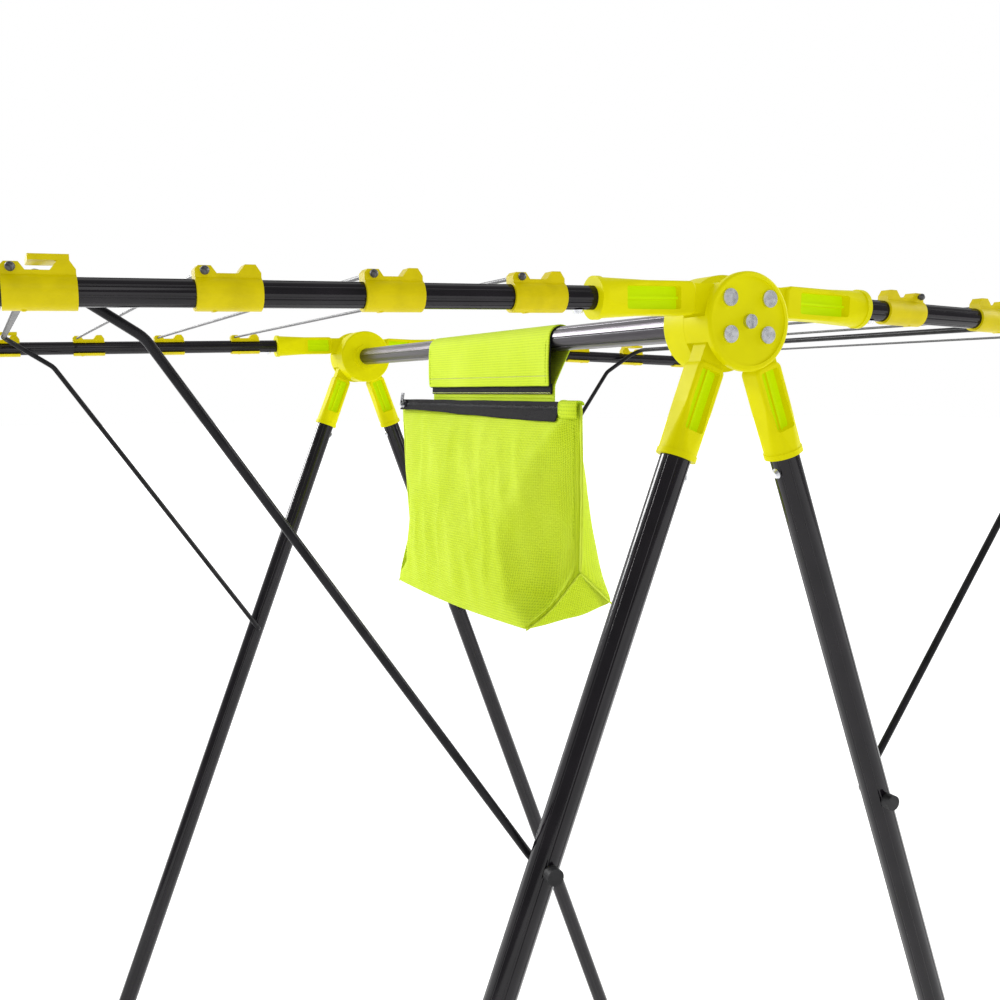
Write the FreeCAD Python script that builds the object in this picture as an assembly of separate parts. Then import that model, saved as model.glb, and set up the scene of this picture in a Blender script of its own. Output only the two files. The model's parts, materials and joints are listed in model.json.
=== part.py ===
"""Folding clothes airer: two end frames on a ridge tube, with wings, lines and a hanging peg bag.

Frame: +Z up, floor at Z = 0, +Y along the ridge tube, +X across the frames. Millimetres.
The near end frame is at -Y, the far one at +Y; left is -X and right is +X.
"""
import FreeCAD, Part
import math
import os

Vector = FreeCAD.Vector

# ---- driving dimensions --------------------------------------------------------------
RIDGE_HEIGHT = 1250.0        # floor to the ridge tube's axis
HALF_SPAN = 421.0            # ridge centre to an end frame's middle plane
RIDGE_RADIUS = 11.0
LEG_RADIUS = 11.0
ARM_RADIUS = 8.0
TUBE_WALL = 1.3
RIDGE_WALL = 1.5
FLUTE_COUNT = 8              # shallow grooves along every tube
FLUTE_RADIUS = 1.3
FLUTE_DEPTH = 0.45

LEG_SPLAY = 20.5             # degrees from upright
LEG_PIN_X = 16.0             # leg pivot from the ridge axis
LEG_PIN_Z = -9.0
ARM_DROOP = 1.6              # degrees below level
ARM_PIN_X = 17.0             # arm pivot from the ridge axis
ARM_PIN_Z = 16.0
ARM_END = 576.0              # arm tube end, from the ridge axis

HUB_RADIUS = 34.6
HUB_INNER_FACE = 38.0        # middle plane to the face that the ridge tube enters
HUB_OUTER_FACE = 18.0        # middle plane to the outside face
HUB_SKIN = 3.0
HUB_BOSS_RADIUS = 16.5
HUB_BOSS_PROUD = 4.0
HUB_EDGE = 2.2               # rounded rim
HUB_RIM = 4.0                # rim left round the outside cover's dish
HUB_DISH = 1.2
HUB_SKIRT_TOP = 175.0           # degrees round the hub: the skirt runs from under the arm
HUB_SKIRT_END = 205.0           # to beside the leg
HUB_SKIRT_GAP = 0.3             # parting line between the skirt and the inside cover
HUB_POST_RADIUS = 6.0
HUB_SCREW_RADIUS = 2.6
HUB_SCREW_HEAD = 5.0
HUB_SCREW_HEAD_HEIGHT = 3.0
HUB_SCREW_REACH = 18.0          # into the plug
HUB_SCREW_CLEARANCE = 0.5
SCREW_SLOT = (3.2, 1.8)         # length and width of the driver slot
PLUG_LENGTH = 30.0
PLUG_BORE_LENGTH = 20.0
PIN_SEAT = 10.0                 # how far the pins go into the inside cover

SOCKET_HALF = 12.0           # half thickness of a socket between the two hub covers
SOCKET_GAP = 0.4
SOCKET_LUG = 11.0
NECK_HALF = 7.0                 # half thickness of the neck between lug and beam
NECK_WIDTH = 20.0
BEAM_START = 22.0               # pivot to the hub end of the pocketed beam
BEAM_HALF = 9.5
BEAM_WIDTH = 23.0
BEAM_CORNER = 5.0               # rounded corners at the beam's hub end
BEAM_EDGE = 2.0
PIN_RADIUS = 4.0
PIN_CLEARANCE = 0.05
PIN_HEAD_RADIUS = 6.0
PIN_HEAD = 1.6
LEG_SOCKET = 91.0            # pivot to the mouth of the leg socket
ARM_SOCKET = 99.0
COLLAR_LENGTH = 18.0
SHOULDER_LENGTH = 20.0          # beam's end to the collar, where its section turns round
TUBE_STOP = 2.0                 # inside the collar, where the tube ends
COLLAR_RADIUS = 13.5
COLLAR_LIP = 0.9
COLLAR_LIP_LENGTH = 4.0
POCKET_START = 26.0
ARM_OUTER_POCKET = (35.0, 79.0)  # the arm's outside pocket starts further from the hub
ARM_INNER_POCKET = (26.0, 57.0)
POCKET_END_WALL = 2.0
POCKET_HALF = 7.8
POCKET_CORNER = 2.0
POCKET_WEB = 3.5             # half thickness of the web left between the two pockets
RIB_HALF = 0.9               # rib along the middle of every pocket's floor
RIB_HEIGHT = 2.2

CLIP_FIRST = 158.0           # ridge axis to the first clip's middle
CLIP_PITCH = 98.3
CLIP_COUNT = 5
CLIP_LENGTH = 37.0
CLIP_WALL = 2.0
CLIP_FIN = 5.0               # half width of the horns
CLIP_HORN = 16.1
CLIP_BUMP = 15.2
CLIP_NOTCH = 11.0
CLIP_WINDOW = 6.5            # half height of the window on the clip's inner side
CLIP_WINDOW_START = 2.0
CLIP_FOOT = (8.0, 2.2, 10.4)    # small bump under the clip: place, radius, depth
REST_CLIP = 3                # the clip that carries the tongue over the bail
REST_GAP = 0.35
REST_REACH = 7.0
REST_THICK = 3.2

LINE_RADIUS = 1.3
LINE_OFFSET = 13.5           # line from its clip's middle, away from the ridge
LINE_RISE = 12.2             # line above the arm's axis
KNOT_RADIUS = 2.6
KNOT_GAP = 0.15

BAIL_RADIUS = 3.0
BAIL_INSET = 17.6            # bail side rod from the middle plane, towards the bag
BAIL_LEG_REACH = 386.0       # leg pivot to the bail pivot, along the leg
BAIL_KNEE = (398.0, -18.0)   # bend in the side rod, from the ridge axis
BAIL_RISE = 12.8             # crossbar above the arm's axis
BAIL_BEND = 22.0
BAIL_PIVOT_BEND = 5.6        # tight bend beside the leg, so that the pivot stub is straight
BAIL_STUB = 17.0             # pivot stub beyond the middle plane
BAIL_CAP_RADIUS = 6.0

FOOT_RADIUS = 13.6
FOOT_LENGTH = 52.0
FOOT_SOLE = 18.0             # rubber below the tube's end

SCREW_SHANK = 1.8
SCREW_HEAD = 4.0
SCREW_HEAD_HEIGHT = 2.4
SCREW_DEPTH = 6.0
LEG_SCREW_REACH = 102.0      # pivot to the screw, along the leg
ARM_SCREW_REACH = 110.0

BAG_TOP = -62.0              # heights below are from the ridge axis
BAG_TOP_X = -6.0             # the closed top hangs a little in front of the ridge
BAG_NEAR = -217.0
BAG_FAR = 219.0
BAG_TOP_HALF = 3.0
BAG_BASE = -268.0
BAG_BASE_X = -4.0
BAG_BASE_NEAR = -196.0
BAG_BASE_FAR = 186.0
BAG_BASE_HALF = 46.0
STRAP_NEAR = -170.0
STRAP_FAR = 122.0
STRAP_THICK = 1.8
STRAP_INNER = 11.6           # inside radius of the loop round the ridge tube
STRAP_BACK_END = -60.0
STRAP_JOIN = (-6.6, -42.0)   # where the strap's back part reaches the bag's top
FLAP_END = (-11.6, -43.0)    # lower edge of the front flap
TAPE_THICK = 1.0
TAPE_HEIGHT = 14.0
TAPE_SHOWING = 8.0           # hook tape left showing below the flap
ZIP_NEAR = -187.0
ZIP_FAR = 207.0
ZIP_HEIGHT = 13.0
ZIP_THICK = 1.2
ZIP_FRONT = -12.8
ZIP_TOP = -57.0
ZIP_GAP = 0.4
SLIDER_LENGTH = 11.0
SLIDER_HALF = 4.0
SLIDER_THICK = 3.0
BRIDGE_REACH = 6.0              # front of the zip to the front of the slider's bridge
PULL_PIN = 0.8
PULL_THICK = 1.4
PULL_HALF = 3.9
PULL_ARM = 1.2
PULL_EYE = 7.0                  # cross bar to the far side of the eye
PULL_LENGTH = 14.0
PULL_LEAN = 8.0                 # degrees from upright, towards the bag
TAB_THICK = 1.5
TAB_DROP = 15.0                 # front leaf of the zip's end tab


# ---- small helpers -------------------------------------------------------------------
def rod(start, end, radius):
    """Solid round bar from one point to another."""
    along = end - start
    return Part.makeCylinder(radius, along.Length, start, along)


def block(x0, x1, y0, y1, z0, z1):
    """Box between two corners."""
    return Part.makeBox(x1 - x0, y1 - y0, z1 - z0, Vector(x0, y0, z0))


def joined(shapes):
    """Fuse a list of shapes into one clean solid."""
    whole = shapes[0].multiFuse(shapes[1:])
    return whole.removeSplitter()


def direction(side, degrees_down):
    """Unit vector in the XZ plane, outwards on one side and this far below level."""
    angle = math.radians(degrees_down)
    return Vector(side * math.cos(angle), 0, -math.sin(angle))


def fluted_tube(start, end, radius, wall, shift=0.5):
    """Round tube with shallow grooves outside; shift turns them, as a share of their pitch."""
    tube = rod(start, end, radius).cut(rod(start, end, radius - wall))
    along = (end - start).normalize()
    across = Vector(0, 1, 0) if abs(along.y) < 0.5 else Vector(1, 0, 0)
    reach = radius + FLUTE_RADIUS - FLUTE_DEPTH
    cutters = []
    for index in range(FLUTE_COUNT):
        turn = FreeCAD.Rotation(along, 360.0 * (index + shift) / FLUTE_COUNT)
        offset = turn.multVec(across) * reach
        cutters.append(rod(start + offset, end + offset, FLUTE_RADIUS))
    return tube.cut(Part.makeCompound(cutters))


def placed(shape, point, side, degrees_down):
    """Put a shape made along +X from the origin onto a member that leaves a pivot."""
    moved = shape.copy()
    if side < 0:
        moved = moved.mirror(Vector(0, 0, 0), Vector(1, 0, 0))
    moved.rotate(Vector(0, 0, 0), Vector(0, 1, 0), side * degrees_down)
    moved.translate(point)
    return moved


def save(name, shape):
    """Write one node, raised to the ridge tube's height."""
    raised = shape.copy()
    raised.translate(Vector(0, 0, RIDGE_HEIGHT))
    raised.exportStep("parts/%s.step" % name)


# ---- places that several parts share (heights from the ridge axis) --------------------
LEG_DOWN = 90.0 - LEG_SPLAY
SIDES = (("left", -1), ("right", 1))
ENDS = (("near", -HALF_SPAN, 1), ("far", HALF_SPAN, -1))


def leg_pin(side, middle):
    return Vector(side * LEG_PIN_X, middle, LEG_PIN_Z)


def arm_pin(side, middle):
    return Vector(side * ARM_PIN_X, middle, ARM_PIN_Z)


def leg_point(side, middle, reach):
    return leg_pin(side, middle) + direction(side, LEG_DOWN) * reach


def arm_point(side, middle, reach):
    return arm_pin(side, middle) + direction(side, ARM_DROOP) * reach


def clip_reach(index):
    """Distance along the arm from its pivot to a clip's middle."""
    return CLIP_FIRST + CLIP_PITCH * index - ARM_PIN_X


def above_arm(side, middle, reach, rise):
    """Point beside the arm: this far along it and this far above its axis."""
    level = direction(side, ARM_DROOP)
    upright = Vector(-side * level.z, 0, side * level.x)
    return arm_point(side, middle, reach) + upright * rise


# ---- ridge ---------------------------------------------------------------------------
def ridge_tube():
    end = HALF_SPAN - SOCKET_HALF - SOCKET_GAP
    return fluted_tube(Vector(0, -end, 0), Vector(0, end, 0), RIDGE_RADIUS, RIDGE_WALL, 0.0)


def ridge_plug(middle, inward):
    """Plug in the tube's end that takes the hub screw."""
    start = middle + inward * (SOCKET_HALF + SOCKET_GAP)
    end = Vector(0, start + inward * PLUG_LENGTH, 0)
    bore_end = Vector(0, start + inward * PLUG_BORE_LENGTH, 0)
    plug = rod(Vector(0, start, 0), end, RIDGE_RADIUS - RIDGE_WALL)
    return plug.cut(rod(Vector(0, start, 0), bore_end, HUB_SCREW_RADIUS))


def hub_inner_cover(middle, inward):
    """Thick disc that the ridge tube enters, with a boss round the tube and a hole for each pin."""
    face = middle + inward * HUB_INNER_FACE
    back = middle + inward * (SOCKET_HALF + SOCKET_GAP)
    disc = Part.makeCylinder(HUB_RADIUS, HUB_INNER_FACE - SOCKET_HALF - SOCKET_GAP,
                             Vector(0, back, 0), Vector(0, inward, 0))
    disc = disc.makeFillet(HUB_EDGE, [edge_at(disc, face)])
    boss_face = face + inward * HUB_BOSS_PROUD
    cover = joined([disc, rod(Vector(0, back, 0), Vector(0, boss_face, 0), HUB_BOSS_RADIUS)])
    cover = cover.cut(rod(Vector(0, back, 0), Vector(0, boss_face + inward, 0), RIDGE_RADIUS))
    for centre in pin_centres(middle):
        seat = Vector(centre.x, back + inward * PIN_SEAT, centre.z)
        cover = cover.cut(rod(Vector(centre.x, back, centre.z), seat, PIN_RADIUS))
    return cover


def edge_at(shape, height):
    """Largest round edge of a shape in the plane Y = height."""
    flat = [edge for edge in shape.Edges
            if abs(edge.BoundBox.YMin - height) < 1e-3 and abs(edge.BoundBox.YMax - height) < 1e-3]
    return max(flat, key=lambda edge: edge.Length)


def pin_centres(middle):
    centres = []
    for _, side in SIDES:
        centres.append(leg_pin(side, middle))
        centres.append(arm_pin(side, middle))
    return centres


def hub_skirt(middle, inward, side):
    """Wall between the covers, on one side, from under the arm to beside the leg."""
    back = middle - inward * (SOCKET_HALF + SOCKET_GAP)
    depth = 2 * (SOCKET_HALF + SOCKET_GAP) - HUB_SKIRT_GAP
    start, along = Vector(0, back, 0), Vector(0, inward, 0)
    ring = Part.makeCylinder(HUB_RADIUS, depth, start, along)
    ring = ring.cut(Part.makeCylinder(HUB_RADIUS - HUB_SKIN, depth, start, along))
    reach = 2 * HUB_RADIUS
    corners = [Vector(0, back, 0)]
    for degrees in (HUB_SKIRT_TOP, (HUB_SKIRT_TOP + HUB_SKIRT_END) / 2, HUB_SKIRT_END):
        angle = math.radians(degrees)
        corners.append(Vector(-side * reach * math.cos(angle), back, reach * math.sin(angle)))
    wedge = Part.Face(Part.makePolygon(corners + corners[:1])).extrude(along * depth)
    return ring.common(wedge)


def hub_outer_cover(middle, inward):
    """Shallow outside cover with two skirts and a middle post that reaches the ridge tube's end."""
    back = middle - inward * (SOCKET_HALF + SOCKET_GAP)
    face = middle - inward * HUB_OUTER_FACE
    disc = Part.makeCylinder(HUB_RADIUS, HUB_OUTER_FACE - SOCKET_HALF - SOCKET_GAP,
                             Vector(0, back, 0), Vector(0, -inward, 0))
    disc = disc.makeFillet(HUB_EDGE, [edge_at(disc, face)])
    dish = Part.makeCylinder(HUB_RADIUS - HUB_RIM, HUB_DISH, Vector(0, face, 0), Vector(0, inward, 0))
    post_end = Vector(0, middle + inward * (SOCKET_HALF + SOCKET_GAP), 0)
    post = rod(Vector(0, back, 0), post_end, HUB_POST_RADIUS)
    skirts = [hub_skirt(middle, inward, side) for _, side in SIDES]
    cover = joined([disc.cut(dish), post] + skirts)
    screw_hole = HUB_SCREW_RADIUS + HUB_SCREW_CLEARANCE
    cover = cover.cut(rod(Vector(0, face - inward, 0), post_end + Vector(0, inward, 0), screw_hole))
    for centre in pin_centres(middle):
        cover = cover.cut(rod(Vector(centre.x, face - inward, centre.z),
                              Vector(centre.x, back + inward, centre.z), PIN_RADIUS))
    return cover


def hub_pins(middle, inward):
    """Four headed pivot pins of one hub."""
    face = middle - inward * (HUB_OUTER_FACE - HUB_DISH)
    end = middle + inward * (SOCKET_HALF + SOCKET_GAP + PIN_SEAT)
    pins = []
    for centre in pin_centres(middle):
        start = Vector(centre.x, face, centre.z)
        shank = rod(start, Vector(centre.x, end, centre.z), PIN_RADIUS)
        head = rod(start, start - Vector(0, inward * PIN_HEAD, 0), PIN_HEAD_RADIUS)
        pins.append(joined([shank, head]))
    return Part.makeCompound(pins)


def hub_screw(middle, inward):
    """Long screw on the ridge axis, from the outside cover into the tube's plug."""
    face = middle - inward * (HUB_OUTER_FACE - HUB_DISH)
    start = Vector(0, face, 0)
    top = start - Vector(0, inward * HUB_SCREW_HEAD_HEIGHT, 0)
    shank_end = Vector(0, middle + inward * (SOCKET_HALF + HUB_SCREW_REACH), 0)
    shank = rod(start, shank_end, HUB_SCREW_RADIUS)
    head = rod(start, top, HUB_SCREW_HEAD)
    length, width = SCREW_SLOT
    slot = block(-length / 2, length / 2, -width / 2, width / 2, -HUB_SCREW_HEAD, HUB_SCREW_HEAD)
    slot.translate(top)
    return joined([shank, head]).cut(slot)


# ---- sockets -------------------------------------------------------------------------
def rounded_section(x, half_y, half_z, radius):
    """Closed rounded rectangle across the X axis."""
    edges = []
    centres = ((half_y - radius, half_z - radius), (radius - half_y, half_z - radius),
               (radius - half_y, radius - half_z), (half_y - radius, radius - half_z))
    arcs = []
    for quarter, (y, z) in enumerate(centres):
        points = []
        for step in (0, 0.5, 1):
            angle = math.radians(90.0 * (quarter + step))
            points.append(Vector(x, y + radius * math.cos(angle), z + radius * math.sin(angle)))
        arcs.append(points)
    for points, following in zip(arcs, arcs[1:] + arcs[:1]):
        edges.append(Part.Arc(*points).toShape())
        edges.append(Part.LineSegment(points[2], following[0]).toShape())
    return Part.Wire(edges)


def socket_beam(collar_start, length):
    """Lug on the pivot, a thinner neck, and the beam, whose section turns round at the collar."""
    lug = rod(Vector(0, -SOCKET_HALF, 0), Vector(0, SOCKET_HALF, 0), SOCKET_LUG)
    neck = block(0, BEAM_START + 2 * BEAM_CORNER, -NECK_HALF, NECK_HALF, -NECK_WIDTH / 2, NECK_WIDTH / 2)
    turn = collar_start - SHOULDER_LENGTH
    beam = block(BEAM_START, turn, -BEAM_HALF, BEAM_HALF, -BEAM_WIDTH / 2, BEAM_WIDTH / 2)
    ends = [edge for edge in beam.Edges
            if edge.BoundBox.YLength > BEAM_HALF and edge.BoundBox.XMax < BEAM_START + 1e-3]
    beam = beam.makeFillet(BEAM_CORNER, ends)
    long_edges = [edge for edge in beam.Edges if edge.BoundBox.XLength > 2 * BEAM_CORNER]
    beam = beam.makeFillet(BEAM_EDGE, long_edges)
    flat = rounded_section(turn, BEAM_HALF, BEAM_WIDTH / 2, BEAM_EDGE)
    end = length - COLLAR_LIP_LENGTH
    full = rounded_section(end, COLLAR_RADIUS, COLLAR_RADIUS, COLLAR_RADIUS - 0.5)
    return [lug, neck, beam, Part.makeLoft([flat, full], True, True)]


def socket_pocket(face, start, end):
    """Pocket in one face of the beam, with a rib left along the middle of its floor."""
    y_low, y_high = sorted((face * POCKET_WEB, face * 2 * SOCKET_HALF))
    pocket = block(start, end, y_low, y_high, -POCKET_HALF, POCKET_HALF)
    corners = [edge for edge in pocket.Edges if edge.BoundBox.YLength > 1.0]
    pocket = pocket.makeFillet(POCKET_CORNER, corners)
    y_low, y_high = sorted((face * POCKET_WEB, face * (POCKET_WEB + RIB_HEIGHT)))
    return pocket.cut(block(start, end, y_low, y_high, -RIB_HALF, RIB_HALF))


def socket(length, bore, pockets):
    """Socket along +X from its pivot; pockets holds the pocket ends of its -Y and +Y faces."""
    collar_start = length - COLLAR_LENGTH
    lip = rod(Vector(length - COLLAR_LIP_LENGTH, 0, 0), Vector(length, 0, 0), COLLAR_RADIUS + COLLAR_LIP)
    body = joined(socket_beam(collar_start, length) + [lip])
    for face, (start, end) in zip((-1, 1), pockets):
        body = body.cut(socket_pocket(face, start, end))
    across = Vector(0, 2 * SOCKET_HALF, 0)
    body = body.cut(rod(across * -1.0, across, PIN_RADIUS + PIN_CLEARANCE))
    return body.cut(rod(Vector(collar_start + TUBE_STOP, 0, 0), Vector(length + 5.0, 0, 0), bore))


def arm_pockets(inward):
    """Pocket ends of an arm socket's -Y and +Y faces."""
    if inward > 0:
        return ARM_OUTER_POCKET, ARM_INNER_POCKET
    return ARM_INNER_POCKET, ARM_OUTER_POCKET


def screw(head_point, inward_direction):
    """Pan-head screw whose head sits on a tube and whose shank goes into it."""
    shank = rod(head_point, head_point + inward_direction * SCREW_DEPTH, SCREW_SHANK)
    outward = inward_direction * -1.0
    head = Part.makeCone(SCREW_HEAD, SCREW_HEAD * 0.6, SCREW_HEAD_HEIGHT, head_point, outward)
    return joined([shank, head])


# ---- legs ----------------------------------------------------------------------------
def leg_end_reach():
    """Distance along the leg from its pivot to the floor."""
    return (RIDGE_HEIGHT + LEG_PIN_Z) / math.cos(math.radians(LEG_SPLAY))


def leg_tube(side, middle):
    start = leg_point(side, middle, LEG_SOCKET - COLLAR_LENGTH + TUBE_STOP)
    end = leg_point(side, middle, leg_end_reach() - FOOT_SOLE)
    tube = fluted_tube(start, end, LEG_RADIUS, TUBE_WALL)
    pivot = leg_point(side, middle, BAIL_LEG_REACH)
    across = Vector(0, 2 * LEG_RADIUS, 0)
    tube = tube.cut(rod(pivot - across, pivot + across, BAIL_RADIUS + PIN_CLEARANCE))
    seat, inner = leg_screw_place(side, middle)
    return tube.cut(rod(seat - inner, seat + inner * (SCREW_DEPTH + 1.0), SCREW_SHANK))


def leg_screw_place(side, middle):
    """Head seat and inward direction of the screw on the leg's inner side."""
    along = direction(side, LEG_DOWN)
    outward = Vector(-side * -along.z, 0, side * -along.x)
    seat = leg_point(side, middle, LEG_SCREW_REACH) + outward * LEG_RADIUS
    return seat, outward * -1.0


def foot(side, middle):
    """Rubber foot round the tube's end, cut level with the floor."""
    end = leg_end_reach()
    top = leg_point(side, middle, end - FOOT_LENGTH)
    outer = rod(top, leg_point(side, middle, end + FOOT_RADIUS), FOOT_RADIUS)
    tube = rod(top, leg_point(side, middle, end - FOOT_SOLE), LEG_RADIUS)
    reach = RIDGE_HEIGHT
    below = block(-reach, reach, -reach, reach, -RIDGE_HEIGHT - 2 * FOOT_LENGTH, -RIDGE_HEIGHT)
    return outer.cut(tube).cut(below)


# ---- arms ----------------------------------------------------------------------------
def arm_tube(side, middle):
    start = arm_point(side, middle, ARM_SOCKET - COLLAR_LENGTH + TUBE_STOP)
    end = arm_point(side, middle, ARM_END - ARM_PIN_X)
    tube = fluted_tube(start, end, ARM_RADIUS, TUBE_WALL)
    seat, inner = arm_screw_place(side, middle)
    return tube.cut(rod(seat - inner, seat + inner * (SCREW_DEPTH + 1.0), SCREW_SHANK))


def arm_screw_place(side, middle):
    """Head seat and inward direction of the screw under the arm."""
    seat = above_arm(side, middle, ARM_SCREW_REACH, -ARM_RADIUS)
    upward = (above_arm(side, middle, ARM_SCREW_REACH, 1.0) - arm_point(side, middle, ARM_SCREW_REACH))
    return seat, upward


def arm_cap(side, middle):
    """Rounded plug that closes the arm's outer end."""
    cap_radius = ARM_RADIUS + 1.2
    reach = ARM_END - ARM_PIN_X
    head = rod(arm_point(side, middle, reach), arm_point(side, middle, reach + 9.0), cap_radius)
    tip = arm_point(side, middle, reach + 9.0)
    rim = [edge for edge in head.Edges
           if edge.Curve.TypeId == "Part::GeomCircle" and (edge.Curve.Center - tip).Length < 0.1]
    head = head.makeFillet(3.0, rim)
    stem = rod(arm_point(side, middle, reach - 14.0), arm_point(side, middle, reach), ARM_RADIUS - TUBE_WALL)
    return joined([head, stem])


def clip_outline():
    """Side view of the horns: tall horn by the ridge, notch, and a low bump that holds the line."""
    half = CLIP_LENGTH / 2
    points = [(-half, 0), (-half, 11.5), (-half + 3.0, CLIP_HORN), (-half + 9.0, CLIP_HORN),
              (-half + 13.0, CLIP_NOTCH), (half - 12.0, CLIP_NOTCH), (half - 9.0, CLIP_BUMP),
              (half - 2.0, CLIP_BUMP), (half, 13.0), (half, 0), (-half, 0)]
    return Part.makePolygon([Vector(x, -CLIP_FIN, z) for x, z in points])


def line_clip(inward):
    """Clip along +X, centred on the arm's axis, with a window that shows the tube's inner side."""
    half = CLIP_LENGTH / 2
    outer = ARM_RADIUS + CLIP_WALL
    sleeve = rod(Vector(-half, 0, 0), Vector(half, 0, 0), outer)
    horns = Part.Face(clip_outline()).extrude(Vector(0, 2 * CLIP_FIN, 0))
    place, radius, depth = CLIP_FOOT
    low = radius - depth
    bump = rod(Vector(place, -CLIP_FIN / 2, low), Vector(place, CLIP_FIN / 2, low), radius)
    clip = joined([sleeve, horns, bump])
    clip = clip.cut(rod(Vector(-half - 1.0, 0, 0), Vector(half + 1.0, 0, 0), ARM_RADIUS))
    y_low, y_high = sorted((inward * CLIP_WINDOW_START, inward * (outer + 1.0)))
    clip = clip.cut(block(-half - 1.0, half + 1.0, y_low, y_high, -CLIP_WINDOW, CLIP_WINDOW))
    eye = rod(Vector(LINE_OFFSET, -20.0, LINE_RISE), Vector(LINE_OFFSET, 20.0, LINE_RISE), LINE_RADIUS + 0.1)
    return clip.cut(eye)


def arm_clips(side, middle, inward):
    clip = line_clip(inward)
    places = [arm_point(side, middle, clip_reach(index)) for index in range(CLIP_COUNT)]
    return Part.makeCompound([placed(clip, place, side, ARM_DROOP) for place in places])


def bail_rests(side):
    """Tongues on the horns of one clip of each arm, through which the wing rests on the bail."""
    low = BAIL_RISE + BAIL_RADIUS + REST_GAP
    tongues = []
    for _, middle, inward in ENDS:
        y_low, y_high = sorted((-inward * CLIP_FIN, inward * (BAIL_INSET + REST_REACH)))
        tongue = block(-CLIP_LENGTH / 2 + 3.0, REST_REACH - 2.0, y_low, y_high, low, low + REST_THICK)
        place = arm_point(side, middle, clip_reach(REST_CLIP))
        tongues.append(placed(tongue, place, side, ARM_DROOP))
    return Part.makeCompound(tongues)


def wing_lines(side):
    """Five taut lines of one wing, each knotted outside its two clips."""
    lines = []
    knot_at = HALF_SPAN + CLIP_FIN + KNOT_RADIUS + KNOT_GAP
    for index in range(CLIP_COUNT):
        place = above_arm(side, 0.0, clip_reach(index) + LINE_OFFSET, LINE_RISE)
        start = Vector(place.x, -knot_at, place.z)
        end = Vector(place.x, knot_at, place.z)
        knots = [Part.makeSphere(KNOT_RADIUS, start), Part.makeSphere(KNOT_RADIUS, end)]
        lines.append(joined([rod(start, end, LINE_RADIUS)] + knots))
    return Part.makeCompound(lines)


# ---- bails ---------------------------------------------------------------------------
def bail_route(side):
    """Corner points of the wire from one leg, up and across, to the other leg."""
    inset = HALF_SPAN - BAIL_INSET
    stub = HALF_SPAN + BAIL_STUB
    pivot = leg_point(side, 0.0, BAIL_LEG_REACH)
    top = above_arm(side, 0.0, clip_reach(REST_CLIP), BAIL_RISE)
    knee = Vector(side * BAIL_KNEE[0], 0, BAIL_KNEE[1])
    half = [Vector(pivot.x, -stub, pivot.z), Vector(pivot.x, -inset, pivot.z),
            Vector(knee.x, -inset, knee.z), Vector(top.x, -inset, top.z)]
    other = [Vector(point.x, -point.y, point.z) for point in reversed(half)]
    return half + other


def rounded_path(points, radii):
    """Wire through the points with every corner rounded by a tangent arc."""
    edges = []
    start = points[0]
    for before, corner, after, radius in zip(points, points[1:], points[2:], radii):
        inbound = (corner - before).normalize()
        outbound = (after - corner).normalize()
        turn = inbound.getAngle(outbound)
        cut = radius * math.tan(turn / 2)
        first = corner - inbound * cut
        last = corner + outbound * cut
        bisector = (outbound - inbound).normalize()
        middle = corner + bisector * (radius / math.cos(turn / 2) - radius)
        edges.append(Part.LineSegment(start, first).toShape())
        edges.append(Part.Arc(first, middle, last).toShape())
        start = last
    edges.append(Part.LineSegment(start, points[-1]).toShape())
    return Part.Wire(edges)


def bail(side):
    points = bail_route(side)
    inner_bends = [BAIL_BEND] * (len(points) - 4)
    path = rounded_path(points, [BAIL_PIVOT_BEND] + inner_bends + [BAIL_PIVOT_BEND])
    heading = points[1] - points[0]
    profile = Part.Wire([Part.makeCircle(BAIL_RADIUS, points[0], heading)])
    return path.makePipeShell([profile], True, False)


def bail_caps(side):
    """Push-on caps that keep the bail's two ends in the legs."""
    pivot = leg_point(side, 0.0, BAIL_LEG_REACH)
    caps = []
    for end in (-1, 1):
        start = Vector(pivot.x, end * (HALF_SPAN + LEG_RADIUS + 0.4), pivot.z)
        stop = Vector(pivot.x, end * (HALF_SPAN + BAIL_STUB + 1.5), pivot.z)
        rod_end = Vector(pivot.x, end * (HALF_SPAN + BAIL_STUB), pivot.z)
        caps.append(rod(start, stop, BAIL_CAP_RADIUS).cut(rod(start, rod_end, BAIL_RADIUS)))
    return Part.makeCompound(caps)


# ---- peg bag -------------------------------------------------------------------------
def bag_body():
    """Wedge with a narrow top under the zip and a flat boxed base."""
    top = rectangle(BAG_TOP_X, BAG_TOP_HALF, BAG_NEAR, BAG_FAR, BAG_TOP)
    base = rectangle(BAG_BASE_X, BAG_BASE_HALF, BAG_BASE_NEAR, BAG_BASE_FAR, BAG_BASE)
    return Part.makeLoft([base, top], True, True)


def rectangle(centre_x, half, y_near, y_far, height):
    """Closed level rectangle."""
    corners = [Vector(centre_x - half, y_near, height), Vector(centre_x + half, y_near, height),
               Vector(centre_x + half, y_far, height), Vector(centre_x - half, y_far, height)]
    return Part.makePolygon(corners + corners[:1])


def strap_strip(start, end, thick):
    """Flat strip between two (x, z) points, as long as the strap is wide."""
    along = Vector(end[0] - start[0], 0, end[1] - start[1])
    normal = Vector(-along.z, 0, along.x).normalize() * (thick / 2)
    low = Vector(start[0], STRAP_NEAR, start[1])
    corners = [low - normal, low + along - normal, low + along + normal, low + normal, low - normal]
    return Part.Face(Part.makePolygon(corners)).extrude(Vector(0, STRAP_FAR - STRAP_NEAR, 0))


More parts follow.
